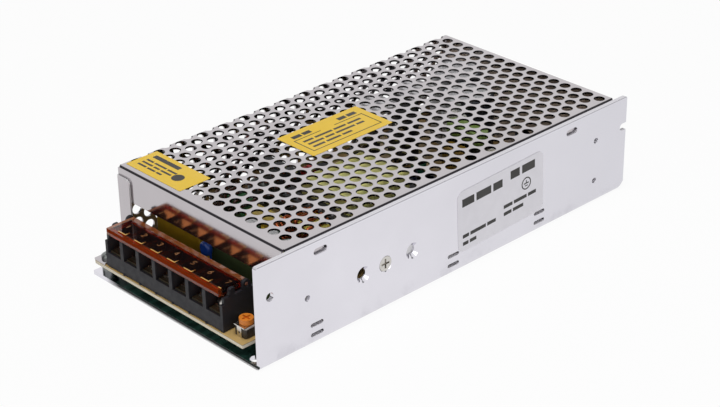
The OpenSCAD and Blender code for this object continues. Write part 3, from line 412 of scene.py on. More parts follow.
def can_look(node, sleeve, stripe):
    """A can in a shrink sleeve with a pale stripe and a bare metal top."""
    lo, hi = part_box(node)
    middle = (lo + hi) / 2
    half = (hi.x - lo.x) / 2
    rim, soft = 1.2 * MM, 0.1 * MM
    stripe_start, stripe_soft = half * 0.86, half * 0.02
    look = Look(node, sleeve, 0.3)
    skin = look.tones(look.spread(look.noise(scale=240)), sleeve, 0.85, 1.2)
    ahead = look.math("SUBTRACT", middle.y - stripe_start, look.axis("y"))
    skin = look.mix(look.span(ahead, 0.0, stripe_soft), skin, stripe)
    inside = look.span(look.from_line(middle), half - rim + soft, half - rim - soft)
    bare = look.both(inside, look.span(look.axis("z"), hi.z - rim, hi.z - rim + 2 * soft))
    look.set("Base Color", look.mix(bare, skin, lin(232, 232, 234)))
    look.set("Metallic", look.math("MULTIPLY", bare, 0.3))
    look.set("Roughness", look.spread(look.noise(scale=700, detail=4), 0.22, 0.4))
    look.bump(look.noise(scale=900), depth=0.03, strength=0.4)
    return look


def tape_look(name, colour):
    """Wound polyester tape: overlapping turns with soft edges."""
    look = Look(name, colour, 0.3)
    bands = look.noise(detail=1, stretch=(40, 700, 40))
    look.set("Base Color", look.tones(look.span(bands, 0.35, 0.65), colour, 0.8, 1.15))
    look.set("Roughness", look.spread(look.noise(scale=200), 0.22, 0.42))
    look.bump(bands, depth=0.08, strength=0.5)
    return look


def wire_look():
    """Enamelled copper wire."""
    look = Look("copper_wire", lin(186, 92, 52), 0.28, 0.85)
    tone = look.spread(look.noise(scale=300, detail=4))
    look.set("Base Color", look.mix(tone, lin(150, 62, 34), lin(214, 122, 74)))
    look.set("Roughness", look.spread(look.noise(scale=800), 0.2, 0.4))
    look.bump(look.noise(scale=1500, detail=2), depth=0.02, strength=0.4)
    return look


def fuse_look():
    """A glass tube with plated caps at both ends."""
    lo, hi = case_box("fuse")
    cap, soft = 5.6, 0.3
    look = Look("fuse", lin(214, 220, 218), 0.12)
    ends = look.math("MAXIMUM", look.past("y", lo.y + cap, lo.y + cap - soft),
                     look.past("y", hi.y - cap, hi.y - cap + soft))
    look.set("Base Color", look.mix(ends, lin(206, 214, 212), lin(200, 196, 184)))
    look.set("Metallic", ends)
    look.set("Transmission Weight", look.math("SUBTRACT", 0.8, ends))
    look.set("Roughness", look.spread(look.noise(scale=700, detail=4), 0.08, 0.25))
    look.bump(look.noise(scale=900), depth=0.01, strength=0.4)
    return look


def banded_look(name, body, bands, middle, length, letter):
    """A small body with coloured rings across one axis; bands holds each ring's share of the length."""
    half_band, half_band_end = length * 0.05 * MM, length * 0.06 * MM
    look = Look(name, body, 0.35)
    tone = look.tones(look.spread(look.noise(scale=900)), body, 0.9, 1.1)
    for share, colour in bands:
        ring = middle + length * (share - 0.5) * MM
        off = look.math("ABSOLUTE", look.math("SUBTRACT", look.axis(letter), ring))
        tone = look.mix(look.span(off, half_band_end, half_band), tone, colour)
    look.set("Base Color", tone)
    look.bump(look.noise(scale=1400, detail=2), depth=0.02, strength=0.5)
    return look


cover_metal = cover_look()
chassis_metal = chassis_look()
bare_metal = sheet_metal("bare_metal", lin(205, 204, 206), 0.3, grain=(4200, 4200, 60), marks=0.15)
nickel = plated("nickel", lin(208, 205, 200), 0.2)
dull_nickel = plated("dull_nickel", lin(126, 129, 127), 0.3)
tin = plated("tin", lin(206, 198, 172), 0.3)
# Painted shade: the contacts' dark tone is partly old brass and partly the shade under the guard.
contact_metal = plated("contact_metal", lin(92, 84, 68), 0.42)
solder = plated("solder", lin(120, 124, 122), 0.42)
copper = wire_look()
amber = amber_look()
laminate = main_board_look()
mask_green = board_look("green_board", top=lin(20, 82, 52), under=lin(16, 70, 46), edge=lin(90, 110, 70),
                        mark=lin(190, 200, 180))
black = plastic("black_plastic", lin(33, 32, 37), 0.5)
black.set("Specular IOR Level", 0.28)
device_black = plastic("device_black", lin(30, 30, 32), 0.4)
dark_brown = plastic("dark_brown_plastic", lin(48, 40, 32), 0.45)
wire_brown = plastic("wire_brown", lin(74, 38, 24), 0.35)
orange = plastic("orange_plastic", lin(236, 138, 44), 0.36)
red = plastic("red_plastic", lin(186, 30, 24), 0.3)
box_yellow = plastic("box_yellow", lin(196, 160, 40), 0.34)
pad_grey = plastic("pad_grey", lin(176, 180, 184), 0.8)
# The gold of the guard's numbers is a painted highlight.
gold_highlight = plastic("gold_highlight_mark", lin(170, 112, 58), 0.35)
sleeve_dark = plastic("sleeve_dark", lin(28, 40, 66), 0.3)
sleeve_green = plastic("sleeve_green", lin(20, 72, 54), 0.3)
blue = dipped("blue_coat", lin(22, 72, 170), 0.22)
coat_green = dipped("green_coat", lin(150, 178, 92), 0.24)
coat_brown = dipped("brown_coat", lin(150, 78, 34), 0.24)
coat_olive = dipped("olive_coat", lin(150, 118, 48), 0.3)
coat_dark = dipped("dark_coat", lin(38, 44, 38), 0.35)
ceramic = plastic("ceramic", lin(226, 222, 212), 0.72, depth=0.04, scale=1500)
ferrite = plastic("ferrite", lin(44, 44, 46), 0.55, depth=0.03, scale=1900)
ring_green = plastic("ring_green", lin(60, 110, 70), 0.4, depth=0.03, scale=900)
ring_yellow = plastic("ring_yellow", lin(206, 196, 90), 0.4, depth=0.03, scale=900)
glue = plastic("glue", lin(232, 230, 222), 0.45, depth=0.1, scale=500)
yellow_tape = tape_look("yellow_tape", lin(246, 240, 150))
olive_tape = tape_look("olive_tape", lin(196, 168, 60))
sticker_yellow = paper("sticker_yellow", lin(238, 198, 52))
sticker_grey = paper("sticker_grey", lin(218, 216, 222), 0.34)
sticker_grey.set("Metallic", 0.75)
ink = paper("sticker_ink", lin(44, 42, 40), 0.5)

# A metal rim round the top of the trimmer's base, and a green capacitor that darkens downwards
trimmer_top = case_box("trimmer_base")[1].z
dark_brown.over(dark_brown.past("z", trimmer_top - 0.5, trimmer_top - 0.4), lin(188, 182, 180))
film_top = case_box("film_capacitor")[1].z
coat_green.over(coat_green.past("z", film_top - 3, film_top - 6), lin(34, 38, 28))

# Each node's look; screws, washers and the trimmer's clip are nickel
finish = {
    "chassis": chassis_metal, "cover": cover_metal, "cover_screw": dull_nickel,
    "board_spacers": dull_nickel, "main_board": laminate, "control_board": mask_green,
    "control_chip": device_black,
    "terminal_block": black, "terminal_contacts": contact_metal, "terminal_guard": amber,
    "trimmer_base": dark_brown, "trimmer_rotor": orange, "selector_body": black, "selector_slider": red,
    "fuse": fuse_look(), "fuse_clips": tin, "thermistor": coat_dark,
    "line_capacitor": box_yellow, "disc_capacitor": blue, "film_capacitor": coat_green,
    "line_choke_core": ring_green, "line_choke_windings": wire_brown,
    "bridge_rectifier": device_black, "output_rectifier": device_black, "insulating_pad": pad_grey,
    "transformer_core": ferrite, "transformer_bobbin": device_black, "transformer_coil": yellow_tape,
    "output_choke_core": ring_yellow, "output_choke_winding": copper,
    "driver_transformer": olive_tape, "cement_resistor": ceramic, "heat_spreader": bare_metal,
}
for i in (1, 2):
    finish[f"heatsink_{i}"] = cooler_look(f"heatsink_{i}")
    finish[f"switching_transistor_{i}"] = device_black
    finish[f"bulk_capacitor_{i}"] = can_look(f"bulk_capacitor_{i}", lin(30, 34, 44), lin(196, 198, 200))
for i in (1, 2, 3):
    finish[f"output_capacitor_{i}"] = can_look(f"output_capacitor_{i}", lin(18, 62, 46), lin(206, 204, 150))
for name, obj in nodes.items():
    obj.data.materials.clear()
    obj.data.materials.append(finish.get(name, nickel).mat)


def soften(obj, width):
    """Break an object's sharp edges by a width in millimetres."""
    edge = obj.modifiers.new("edge", "BEVEL")
    edge.width = width * MM
    edge.segments = 2
    edge.limit_method = "ANGLE"
    edge.angle_limit = math.radians(50)


# Moulded and cut edges of the plain-faced solids are broken a little
edge_widths = {
    "terminal_block": 0.25, "terminal_guard": 0.22, "trimmer_base": 0.2, "selector_body": 0.25,
    "selector_slider": 0.2, "main_board": 0.1, "transformer_core": 0.4, "transformer_bobbin": 0.3,
    "heat_spreader": 0.25, "line_capacitor": 0.4, "cement_resistor": 0.3, "bridge_rectifier": 0.25,
    "control_chip": 0.12, "driver_transformer": 0.25, "film_capacitor": 1.2,
}
for name, width in edge_widths.items():
    weld = nodes[name].modifiers.new("weld", "WELD")
    weld.merge_threshold = 0.002 * MM
    soften(nodes[name], width)


# Pieces


class Build:
    """Collects faces in row-frame metres, then makes one mesh object of them."""

    def __init__(self):
        self.points, self.faces, self.slots, self.round = [], [], [], []

    def rings(self, rings, slot=0, smooth=True):
        """A closed skin over a row of rings with as many points each."""
        n, count, base = len(rings[0]), len(rings), len(self.points)
        faces = []
        for r in range(count - 1):
            for k in range(n):
                after = (k + 1) % n
                faces.append([r * n + k, r * n + after, (r + 1) * n + after, (r + 1) * n + k])
        faces.append(list(range(n))[::-1])
        faces.append([(count - 1) * n + k for k in range(n)])
        self.points += [tuple(p) for ring in rings for p in ring]
        self.faces += [[base + k for k in face] for face in faces]
        self.slots += [slot] * len(faces)
        self.round += [smooth] * len(faces)

    def lathe(self, profile, place, slot=0, sides=24):
        """Profile of (radius, height) in millimetres, turned round the local z axis of place."""
        least = 0.001
        rings = []
        for r, z in profile:
            ring = circle(0, 0, max(r, least), sides)
            rings.append([place @ (Vector((x, y, z)) * MM) for x, y in ring])
        self.rings(rings, slot)

    def tube(self, path, radius, slot=0, sides=8):
        """A round wire along a path of points, its radius in millimetres."""
        rings = []
        side = (path[1] - path[0]).normalized().orthogonal().normalized()
        for k, p in enumerate(path):
            ahead = (path[min(k + 1, len(path) - 1)] - path[max(k - 1, 0)]).normalized()
            side = (side - ahead * side.dot(ahead)).normalized()
            other = ahead.cross(side)
            rings.append([p + (side * x + other * y) * MM for x, y in circle(0, 0, radius, sides)])
        self.rings(rings, slot)

    def slab(self, outline, place, lift, slot=0):
        """A flat plate: outline in millimetres in the local xy plane of place, lift thick."""
        rings = [[place @ (Vector((x, y, z)) * MM) for x, y in outline] for z in (0, lift)]
        self.rings(rings, slot, smooth=False)

    def make(self, name, looks, body="case", replaces=(), edge=0.0):
        mesh = bpy.data.meshes.new(name)
        mesh.from_pydata(self.points, [], self.faces)
        for look in looks:
            mesh.materials.append(look.mat)
        mesh.polygons.foreach_set("material_index", self.slots)
        mesh.polygons.foreach_set("use_smooth", self.round)
        mesh.update()
        obj = bpy.data.objects.new(name, mesh)
        scene.collection.objects.link(obj)
        if edge:
            soften(obj, edge)
        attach(obj, body)
        if replaces:
            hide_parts(*replaces)


def rounded(w, h, r, steps=5):
    """Outline of a rectangle with round corners, from its lower left corner."""
    out = []
    for cx, cy, start in ((w - r, r, -90), (w - r, h - r, 0), (r, h - r, 90), (r, r, 180)):
        for k in range(steps + 1):
            t = math.radians(start + 90 * k / steps)
            out.append((cx + r * math.cos(t), cy + r * math.sin(t)))
    return out


def frame_at(origin, x_axis, y_axis):
    """A local frame whose xy plane lies on a face."""
    x, y = Vector(x_axis).normalized(), Vector(y_axis).normalized()
    z = x.cross(y)
    turn = Matrix((x, y, z)).transposed().to_4x4()
    return Matrix.Translation(origin) @ turn


# Stickers with plain bars and fields; each is drawn from its own lower left corner
FOIL = 0.1
PRINT = 0.03


def sticker(name, place, w, h, r, look, marks):
    piece = Build()
    piece.slab(rounded(w, h, r), place, FOIL)
    raised = place @ Matrix.Translation((0, 0, FOIL * MM))
    for outline in marks:
        piece.slab(outline, raised, PRINT, 1)
    piece.make(name, [look, ink])


def bar(x, y, w, h):
    return [(x, y), (x + w, y), (x + w, y + h), (x, y + h)]


def row(x, y, h, words, gap=0.8):
    """Bars side by side, like words on one line."""
    out = []
    for w in words:
        out.append(bar(x, y, w, h))
        x += w + gap
    return out


def front_sticker():
    """A title bar, three lines and a round field, at the cover's left front corner."""
    left, front, width, height, corner = 1.8, 17.8, 32.6, 14.9, 0.5
    margin, title_y, title_h = 3, 10.4, 2.2
    line_y, line_h, step = 7.4, 1.0, 2.2
    field_x, field_y, field_r = 23.6, 6.4, 2.6
    marks = row(margin, title_y, title_h, (15.5,))
    for k, words in enumerate(((4, 7, 5.4), (6.2, 3.4, 6), (5, 4.6, 3))):
        marks += row(margin, line_y - step * k, line_h, words)
    marks.append(circle(field_x, field_y, field_r, sides=24))
    place = frame_at(at(left, front, case_top), (1, 0, 0), (0, 1, 0))
    sticker("sticker_front", place, width, height, corner, sticker_yellow, marks)


def middle_sticker():
    """Three lines in a ruled frame that is open above, and two headings, turned along the case."""
    foot_x, front, width, height, corner = 48, 72.4, 42.3, 21.5, 0.5
    margin, rule = 3, 0.4
    frame_w, frame_h = width - 2 * margin, 11.9
    frame_top, left_rule, right_rule = margin + frame_h - rule, 14, 14.9
    line_x, line_y, line_h, step = 5.4, 11.2, 1.2, 2.9
    head_y, head_h, left_head, right_head = 16.2, 2.2, 4.4, 28.6
    right = width - margin
    marks = [bar(margin, margin, frame_w, rule), bar(margin, margin, rule, frame_h),
             bar(right - rule, margin, rule, frame_h), bar(margin, frame_top, left_rule, rule),
             bar(right - right_rule, frame_top, right_rule, rule)]
    for k, words in enumerate(((5, 9, 6.4, 7), (8, 4.6, 10, 4), (6, 7.4, 5))):
        marks += row(line_x, line_y - step * k, line_h, words, gap=1.0)
    marks += row(left_head, head_y, head_h, (4.6, 4.2)) + row(right_head, head_y, head_h, (4.2, 4.6))
    place = frame_at(at(foot_x, front, case_top), (0, 1, 0), (-1, 0, 0))
    sticker("sticker_middle", place, width, height, corner, sticker_yellow, marks)


def earth_sign(x, y):
    """A ring in four parts round a stem and two bars."""
    outer, inner, steps = 2.7, 2.2, 8
    marks = []
    for quarter in range(4):
        turn = [math.pi / 2 * (quarter + k / steps) for k in range(steps + 1)]
        marks.append([(x + r * math.cos(t), y + r * math.sin(t))
                      for r, way in ((outer, turn), (inner, turn[::-1])) for t in way])
    long_bar, short_bar = bar(x - 1.4, y - 0.2, 2.8, 0.5), bar(x - 0.8, y - 1.2, 1.6, 0.4)
    stem = bar(x - 0.2, y + 0.2, 0.4, 1.2)
    return marks + [long_bar, short_bar, stem]


def side_sticker():
    """Headings, lines and an earth sign on grey foil, stuck a little askew on the wall."""
    wall_x, front, low, width, height, corner, rise = 98, 100.5, 7.6, 48.5, 26.5, 3.0, 1.8
    left, middle, right, line_h = 2.6, 25.6, 29.6, 1.5
    sign_x, sign_y = 38.6, 15.4
    lines = ((middle, 9.2, (5, 7.4, 4.6)), (middle, 6.0, (4.4, 6)), (left, 5.8, (3.4, 8.6, 4.8)),
             (left, 2.6, (3, 3.6)))
    marks = row(left, 19.4, 3.4, (6.6, 8.2, 5.2), gap=1.2)
    marks += row(right, 20.6, 3.6, (5.2, 7.4), gap=1.4)
    for x, y, words in lines:
        marks += row(x, y, line_h, words)
    marks += earth_sign(sign_x, sign_y)
    tilt = math.atan2(rise, width)
    along = (0, math.cos(tilt), math.sin(tilt))
    upward = (0, -math.sin(tilt), math.cos(tilt))
    place = frame_at(at(wall_x, front, low), along, upward)
    sticker("sticker_side", place, width, height, corner, sticker_grey, marks)


front_sticker()
middle_sticker()
side_sticker()


# Strokes of the plain numbers on the guard, drawn 2 wide and 3 high; their gold colour is a painted highlight
# on real numbers
strokes = {
    1: [[(0.5, 2.3), (1.1, 3), (1.1, 0)]],
    2: [[(0, 2.4), (0.5, 3), (1.5, 3), (2, 2.4), (1.9, 1.9), (0, 0), (2, 0)]],
    3: [[(0, 2.7), (0.6, 3), (1.5, 3), (2, 2.4), (1.5, 1.6), (0.9, 1.6)],
        [(1.5, 1.6), (2, 0.8), (1.5, 0), (0.6, 0), (0, 0.3)]],
    4: [[(1.5, 0), (1.5, 3), (0, 0.9), (2, 0.9)]],
    5: [[(2, 3), (0.3, 3), (0.1, 1.7), (1.3, 1.8), (2, 1), (1.5, 0.1), (0.7, 0), (0, 0.3)]],
    6: [[(1.7, 3), (0.6, 2.2), (0, 0.9), (0.5, 0), (1.5, 0), (2, 0.9), (1.5, 1.7), (0.5, 1.5)]],
    7: [[(0, 3), (2, 3), (0.8, 0)]],
}


def pole_x(n):
    """The middle of a terminal across the case, in millimetres."""
    lo, hi = case_box(f"terminal_screw_{n}")
    return (lo.x + hi.x) / 2


def guard_numbers():
    """One number to a terminal, beside the middle of its pole."""
    beside, front, size, stroke = 0.7, 5.9, 0.75, 0.12
    piece = Build()
    for n, paths in strokes.items():
        corner = at(pole_x(n) + beside, front, guard_top)
        for path in paths:
            piece.tube([corner + Vector((x, y, 0)) * size * MM for x, y in path], stroke)
    piece.make("guard_numbers", [gold_highlight], body="guard")


def block_feet():
    """Small half-round feet at the foot of the terminal block's front, one between two poles."""
    beside, front, half_w, depth, height, steps = 0.6, 0.7, 0.6, 0.55, 0.7, 10
    outline = [(half_w * math.cos(t), depth * math.sin(t))
               for t in (math.pi * (1 + k / steps) for k in range(steps + 1))]
    piece = Build()
    for n in range(1, POLES):
        x = (pole_x(n) + pole_x(n + 1)) / 2 + beside
        piece.slab(outline, Matrix.Translation(at(x, front, board_top)), height)
    piece.make("block_feet", [black], edge=0.12)


guard_numbers()
block_feet()


# Windings, turn by turn


def ring_winding(piece, core, inner, outer, half, wire, start, sweep, turns):
    """A wire wound round a ring core whose axis lies along y; angles in degrees."""
    lo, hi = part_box(core)
    centre = (lo + hi) / 2
    clear, bend, steps = 0.1, wire * 0.7, 3
    r0 = inner - clear - wire / 2
    r1 = outer + clear + wire / 2
    y1 = half + clear + wire / 2
    loop = []
    for cx, cy, a in ((r1 - bend, y1 - bend, 0), (r0 + bend, y1 - bend, 90), (r0 + bend, -y1 + bend, 180),
                      (r1 - bend, -y1 + bend, 270)):
        for k in range(steps + 1):
            t = math.radians(a + 90 * k / steps)
            loop.append((cx + bend * math.cos(t), cy + bend * math.sin(t)))
    path = []
    count = turns * len(loop)
    for k in range(count + 1):
        radius, y = loop[k % len(loop)]
        t = math.radians(start + sweep * k / count)
        path.append(centre + Vector((radius * math.cos(t), y, radius * math.sin(t))) * MM)
    piece.tube(path, wire / 2)


def output_choke_turns():
    piece = Build()
    ring_winding(piece, "output_choke_core", inner=6.5, outer=12, half=5, wire=1.42,
                 start=-72, sweep=324, turns=22)
    piece.make("output_choke_turns", [copper], replaces=("output_choke_winding",))


def line_choke_turns():
    piece = Build()
    for start in (24, 204):
        ring_winding(piece, "line_choke_core", inner=5, outer=9.5, half=4, wire=1.2,
                     start=start, sweep=132, turns=8)
    piece.make("line_choke_turns", [wire_brown], replaces=("line_choke_windings",))


output_choke_turns()
line_choke_turns()

# Small board parts in the free places; their leads become one piece
leads = Build()
LEAD = 0.35
FOOT = board_top + 0.1


def axial(name, x, y, length, radius, way, look):
    """A small body lying along way on the board, with a bent lead at each end."""
    lift, spread, bend = 0.4, 3.0, 0.6
    waist, tip = 0.86 * radius, 0.7 * radius
    middle = at(x, y, board_top + radius + lift)
    piece = Build()
    half = [(tip, 0), (radius, 0.12), (radius, 0.2), (waist, 0.3)]
    profile = half + [(r, 1 - share) for r, share in half[::-1]]
    place = frame_at(middle - way * length / 2 * MM, UP.cross(way), UP)
    piece.lathe([(r, share * length) for r, share in profile], place, sides=20)
    piece.make(name, [look])
    for out in (-way, way):
        corner = middle + out * (length / 2 + spread) * MM
        leads.tube([middle + out * length / 2 * MM, corner - out * bend * MM, corner - UP * bend * MM,
                    Vector((corner.x, corner.y, at(0, 0, FOOT).z))], LEAD)


def banded_axial(name, x, y, length, radius, turned, colour, bands):
    """An axial part with coloured rings, along y if turned and else along x."""
    letter = "y" if turned else "x"
    way = Vector((0, 1, 0)) if turned else Vector((1, 0, 0))
    look = banded_look(name, colour, bands, getattr(at(x, y, 0), letter), length, letter)
    axial(name, x, y, length, radius, way, look)


def resistor(n, x, y, turned, colours):
    length, radius = 6.4, 1.2
    first, step, last = 0.16, 0.17, 0.84
    bands = [(first + step * k, colour) for k, colour in enumerate(colours)] + [(last, lin(190, 150, 60))]
    banded_axial(f"resistor_{n}", x, y, length, radius, turned, lin(210, 184, 136), bands)


def diode(n, x, y, turned):
    length, radius, band = 5.2, 1.35, 0.84
    bands = [(band, lin(190, 190, 188))]
    banded_axial(f"diode_{n}", x, y, length, radius, turned, lin(28, 28, 30), bands)


def small_can(n, x, y, radius, height, sleeve):
    """A can with a groove near its foot and a sunk metal top."""
    neck, rim, sunk, slope = 0.9 * radius, 0.5, 0.2, 0.1
    foot, groove_low, groove, groove_high, shoulder = 0.5, 1.6, 2.0, 2.4, height - 0.6
    place = Matrix.Translation(at(x, y, board_top))
    piece = Build()
    piece.lathe([(neck, 0), (radius, foot), (radius, groove_low), (neck, groove), (radius, groove_high),
                 (radius, shoulder), (radius - rim, height)], place)
    piece.lathe([(radius - rim, height), (radius - rim - slope, height - sunk), (0, height - sunk)], place, 1)
    piece.make(f"small_can_{n}", [sleeve, bare_metal])


def disc(n, x, y, radius, look, turned):
    """A dipped disc standing on two leads."""
    gap, thick = 1.6, radius * 0.34
    lead_off, lead_in = radius * 0.5, radius * 0.4
    way = Vector((1, 0, 0)) if turned else Vector((0, 1, 0))
    side = UP.cross(way)
    half = [(0, 1), (0.6, 0.95), (0.9, 0.6)]
    profile = [(r, -t) for r, t in half] + [(1, 0)] + half[::-1]
    piece = Build()
    place = frame_at(at(x, y, board_top + radius + gap), side, UP)
    piece.lathe([(r * radius, t * thick) for r, t in profile], place, sides=28)
    piece.make(f"disc_{n}", [look])
    for end in (-1, 1):
        foot = at(x, y, FOOT) + side * end * lead_off * MM
        leads.tube([foot, foot + UP * (gap + lead_in) * MM], LEAD)


def small_transistor(n, x, y):
    """A plastic body with one flat face on three leads."""
    radius, gap, height = 2.3, 2.6, 4.6
    pitch, lead, lead_h = 1.27, 0.28, 2.8
    round_face = range(-50, 231, 14)
    outline = [(radius * math.cos(t), radius * math.sin(t)) for t in map(math.radians, round_face)]
    piece = Build()
    piece.slab(outline, Matrix.Translation(at(x, y, board_top + gap)), height)
    piece.make(f"small_transistor_{n}", [device_black], edge=0.25)
    for k in (-1, 0, 1):
        foot = at(x + pitch * k, y, FOOT)
        leads.tube([foot, foot + UP * lead_h * MM], lead)


def jumper(x0, y0, x1, y1):
    """A wire bridge just above the board."""
    height, bend = 1.1, 0.06
    rise = UP * height * MM
    start, end = at(x0, y0, FOOT), at(x1, y1, FOOT)
    step = (end - start) * bend
    leads.tube([start, start + rise, start + rise + step, end + rise - step, end + rise, end], LEAD)


def glue_blob(n, x, y, w, l, h, full=1.0):
    """A soft lump of white sealant on the board; a lower full makes it stand more upright."""
    rows, sides, tip, reach = 9, 20, 0.01, (0.85, 1.15)
    wave = [rng.uniform(*reach) for _ in range(sides)]
    rings = []
    for i in range(rows):
        t = math.pi / 2 * i / (rows - 1)
        ring = []
        for k in range(sides):
            a = math.tau * k / sides
            r = max(0.0, math.cos(t)) ** full * (1 + (wave[k] - 1) * math.cos(t)) + tip
            across, along = w / 2 * r * math.cos(a), l / 2 * r * math.sin(a)
            ring.append(at(x + across, y + along, board_top + h * math.sin(t)))
        rings.append(ring)
    piece = Build()
    piece.rings(rings)
    piece.make(f"glue_{n}", [glue])


def olive_film():
    """An olive film capacitor standing ahead of the green one."""
    x, y, w, l, corner = 52, 137, 11, 6.6, 2.4
    gap, height, lead_end = 1, 18, 1.4
    piece = Build()
    piece.slab(rounded(w, l, corner), Matrix.Translation(at(x, y, board_top + gap)), height)
    piece.make("olive_film", [coat_olive], edge=1.2)
    for lead_x in (x + corner, x + w - corner):
        leads.tube([at(lead_x, y + l / 2, FOOT), at(lead_x, y + l / 2, board_top + lead_end)], LEAD)


def solder_points():
    """Small cones of solder with a clipped lead, scattered under the board."""
    count, across, along, sizes = 170, (8, 84), (20, 180), (0.7, 1.1)
    spots = [(rng.uniform(*across), rng.uniform(*along)) for _ in range(count)]
    piece = Build()
    for x, y in spots:
        r = rng.uniform(*sizes)
        cone, lead = [(r, 0), (r * 0.7, 0.35)], [(0.38, 0.7), (0.34, 1.1), (0, 1.15)]
        place = frame_at(at(x, y, board_under), (1, 0, 0), (0, -1, 0))
        piece.lathe(cone + lead, place, sides=10)
    piece.make("solder_points", [solder])


def thread_ridges():
    """A screw line inside each small tapped hole of the wall."""
    turns, sides, depth, ridge, inset = 3, 20, 1.5, 0.13, 0.05
    wall_inner = 96.35
    count = turns * sides
    piece = Build()
    for mount in frame["record"]["mounts"]:
        if mount["kind"] != "threaded_hole":
            continue
        y, z = mount["pos_m"][1:]
        radius = (mount["dims"]["r_mm"] - inset) * MM
        path = []
        for k in range(count + 1):
            a = math.tau * k / sides
            x = at(wall_inner + depth * k / count, 0, 0).x
            path.append(Vector((x, y + radius * math.cos(a), z + radius * math.sin(a))))
        piece.tube(path, ridge, sides=6)
    piece.make("thread_ridges", [chassis_metal])


brown, violet, crimson, ochre = lin(92, 46, 26), lin(98, 60, 140), lin(176, 28, 30), lin(214, 170, 40)
grey, green, navy = lin(130, 130, 132), lin(40, 120, 60), lin(30, 60, 150)
# Each row starts with a place on the board in case millimetres, and goes on with the part's own values
resistors = (
    (36.2, 121, True, (brown, crimson, ochre)), (39.4, 121, True, (ochre, violet, brown)),
    (42.6, 121, True, (crimson, crimson, brown)), (47, 108, True, (brown, grey, crimson)),
    (52, 108, True, (green, navy, brown)), (57, 108, True, (ochre, violet, crimson)),
    (74, 110, False, (brown, grey, ochre)), (74, 114.5, False, (grey, crimson, brown)),
    (87, 104, True, (crimson, violet, brown)), (87, 120, True, (brown, green, ochre)),
    (60, 170, False, (ochre, violet, crimson)), (60, 174.5, False, (brown, grey, crimson)),
    (33, 88, True, (green, navy, brown)), (36.5, 99, True, (brown, crimson, crimson)),
    (36.2, 136, True, (violet, green, brown)), (83, 128, False, (brown, grey, brown)),
)
diodes = (
    (62.5, 108, True), (67.5, 108, True), (86, 112, True), (39.4, 136, True), (72, 170, False),
    (72, 174.5, False), (30, 99, True),
)
small_cans = (
    (50, 121, 4, 12, sleeve_dark), (60, 121, 4, 12, sleeve_dark), (46.2, 131, 3.2, 11, sleeve_green),
    (82, 136, 4, 13, sleeve_green), (70, 180, 4, 12, sleeve_dark), (58, 181, 3.2, 11, sleeve_dark),
)
discs = (
    (71, 122, 4, coat_brown, False), (78, 122, 3.4, blue, False), (66, 130, 3.4, coat_brown, True),
    (88, 132, 3.2, blue, True), (82, 170, 3.6, coat_brown, False), (30, 108, 3, blue, False),
)
small_transistors = ((54, 130), (60, 130), (76, 131))
jumpers = (
    (44, 104, 44, 114), (45.2, 116.5, 45.2, 126), (80, 106, 80, 118), (64, 114, 64, 126),
    (70, 136, 78, 136), (54, 170, 54, 184), (84, 176, 84, 184), (91, 96, 91, 104),
)
glue_blobs = (
    (84.6, 33, 6, 9, 7), (38.5, 176.9, 6, 6, 7), (60.5, 34.5, 5, 6, 6), (47, 152.2, 15, 3.2, 27.2, 0.2),
)
for make, rows in ((resistor, resistors), (diode, diodes), (small_can, small_cans), (disc, discs),
                   (small_transistor, small_transistors)):
    for n, values in enumerate(rows, 1):
        make(n, *values)
for ends in jumpers:
    jumper(*ends)
for n, values in enumerate(glue_blobs, 1):
    glue_blob(n, *values)
olive_film()
leads.make("leads", [tin])
solder_points()
thread_ridges()


# Floor, world, lamps, camera


def seen_rays(tree):
    """1 for camera, glossy and transmission rays, 0 for the others."""
    rays = tree.node("ShaderNodeLightPath")
    found = rays.outputs["Is Camera Ray"]
    for name in ("Is Glossy Ray", "Is Transmission Ray"):
        found = tree.math("MAXIMUM", found, rays.outputs[name])
    return found


def seen_and_lit(tree, out, share, lit, shown):
    """Mix two shaders into an output: share says how much of shown is taken, and lit is the rest."""
    blend = tree.node("ShaderNodeMixShader")
    for socket, value in zip(blend.inputs, (share, lit.outputs[0], shown.outputs[0])):
        tree.join(value, socket)
    tree.join(blend.outputs[0], out.inputs["Surface"])


def pale_floor():
    """A plain floor that is nearly white where it is seen or mirrored, and keeps a soft shadow."""
    size, drop, glow_share = 4.0, 0.05 * MM, 0.93
    corners = [(-size, -size, 0), (size, -size, 0), (size, size, 0), (-size, size, 0)]
    mesh = bpy.data.meshes.new("floor")
    mesh.from_pydata(corners, [], [[0, 1, 2, 3]])
    floor = bpy.data.objects.new("floor", mesh)
    floor.location.z = -drop
    scene.collection.objects.link(floor)
    mat = bpy.data.materials.new("floor")
    tree = Tree(mat)
    plain, glow = tree.node("ShaderNodeBsdfDiffuse"), tree.node("ShaderNodeEmission")
    plain.inputs["Color"].default_value = (0.86, 0.86, 0.86, 1)
    glow.inputs["Color"].default_value = (1, 1, 1, 1)
    glow.inputs["Strength"].default_value = 1.0
    share = tree.math("MULTIPLY", seen_rays(tree), glow_share)
    seen_and_lit(tree, tree.node("ShaderNodeOutputMaterial"), share, plain, glow)
    mesh.materials.append(mat)


# Two dark cards beside the white studio: each edge fades from 0 to 1 along one axis of the direction
front_card = (
    ("y", 0.2, 0.0), ("x", -0.46, -0.54), ("x", -0.84, -0.78), ("z", 0.02, 0.12), ("z", 0.93, 0.85),
)
rear_card = (
    ("y", 0.42, 0.48), ("y", 0.8, 0.74), ("x", -0.45, -0.28), ("z", 0.06, 0.14), ("z", 0.93, 0.88),
)


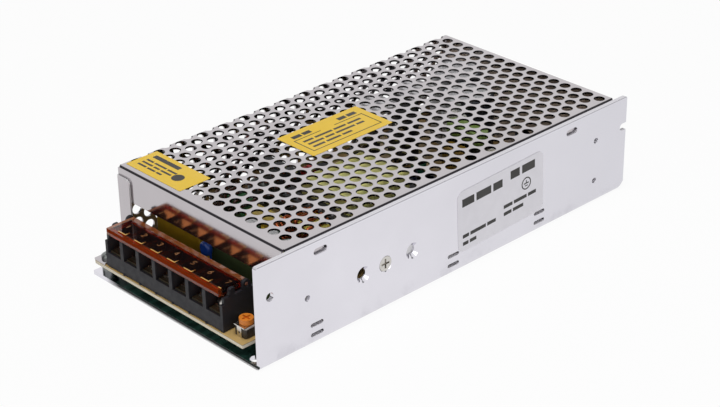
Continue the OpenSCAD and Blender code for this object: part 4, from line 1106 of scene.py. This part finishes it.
def white_world():
    """White where it is seen or mirrored, softer as a light; only mirrored rays meet the dark cards."""
    white, dark, light = (1, 1, 1), (0.06, 0.06, 0.065), 0.3
    scene.world = bpy.data.worlds.new("studio")
    tree = Tree(scene.world)
    split = tree.node("ShaderNodeSeparateXYZ")
    tree.join(tree.node("ShaderNodeTexCoord").outputs["Generated"], split.inputs[0])
    way = dict(zip("xyz", split.outputs))
    front, rear = (tree.both(*(tree.span(way[letter], lo, hi) for letter, lo, hi in card))
                   for card in (front_card, rear_card))
    mirrored = tree.node("ShaderNodeLightPath").outputs["Is Glossy Ray"]
    cards = tree.both(tree.math("MAXIMUM", front, rear), mirrored)
    shown, soft = tree.node("ShaderNodeBackground"), tree.node("ShaderNodeBackground")
    tree.join(tree.mix(cards, white, dark), shown.inputs["Color"])
    shown.inputs["Strength"].default_value = 1.0
    soft.inputs["Color"].default_value = (*white, 1)
    soft.inputs["Strength"].default_value = light
    seen_and_lit(tree, tree.node("ShaderNodeOutputWorld"), seen_rays(tree), soft, shown)


def lamp(name, place, size, power):
    """A square lamp that looks at the middle of the case; metres and watts."""
    data = bpy.data.lights.new(name, "AREA")
    data.shape = "SQUARE"
    data.size = size
    data.energy = power
    obj = bpy.data.objects.new(name, data)
    obj.location = place
    aim = Vector((0, 0, 0.02))
    obj.rotation_euler = (aim - Vector(place)).to_track_quat("-Z", "Y").to_euler()
    scene.collection.objects.link(obj)


def aim_camera():
    """The photograph's view: the place in metres, and the angles in degrees."""
    place = (0.4844, -0.4568, 0.3640)
    azimuth, height, roll = (math.radians(k) for k in (46.945, 27.877, -0.991))
    right = Vector((math.cos(azimuth), math.sin(azimuth), 0))
    level_back = Vector((math.sin(azimuth), -math.cos(azimuth), 0))
    back = level_back * math.cos(height) + UP * math.sin(height)
    up = back.cross(right)
    side = right * math.cos(roll) + up * math.sin(roll)
    data = bpy.data.cameras.new("camera")
    data.lens = 94.59
    data.sensor_width = 36.0
    data.clip_start = 0.01
    camera = bpy.data.objects.new("camera", data)
    camera.matrix_world = frame_at(Vector(place), side, back.cross(side))
    scene.collection.objects.link(camera)
    scene.camera = camera


pale_floor()
white_world()
lamp("key", (0.15, -0.2, 1.05), size=0.6, power=6.2)
lamp("fill", (0.9, -0.35, 0.55), size=0.5, power=0.8)
aim_camera()
scene.view_settings.view_transform = "Standard"
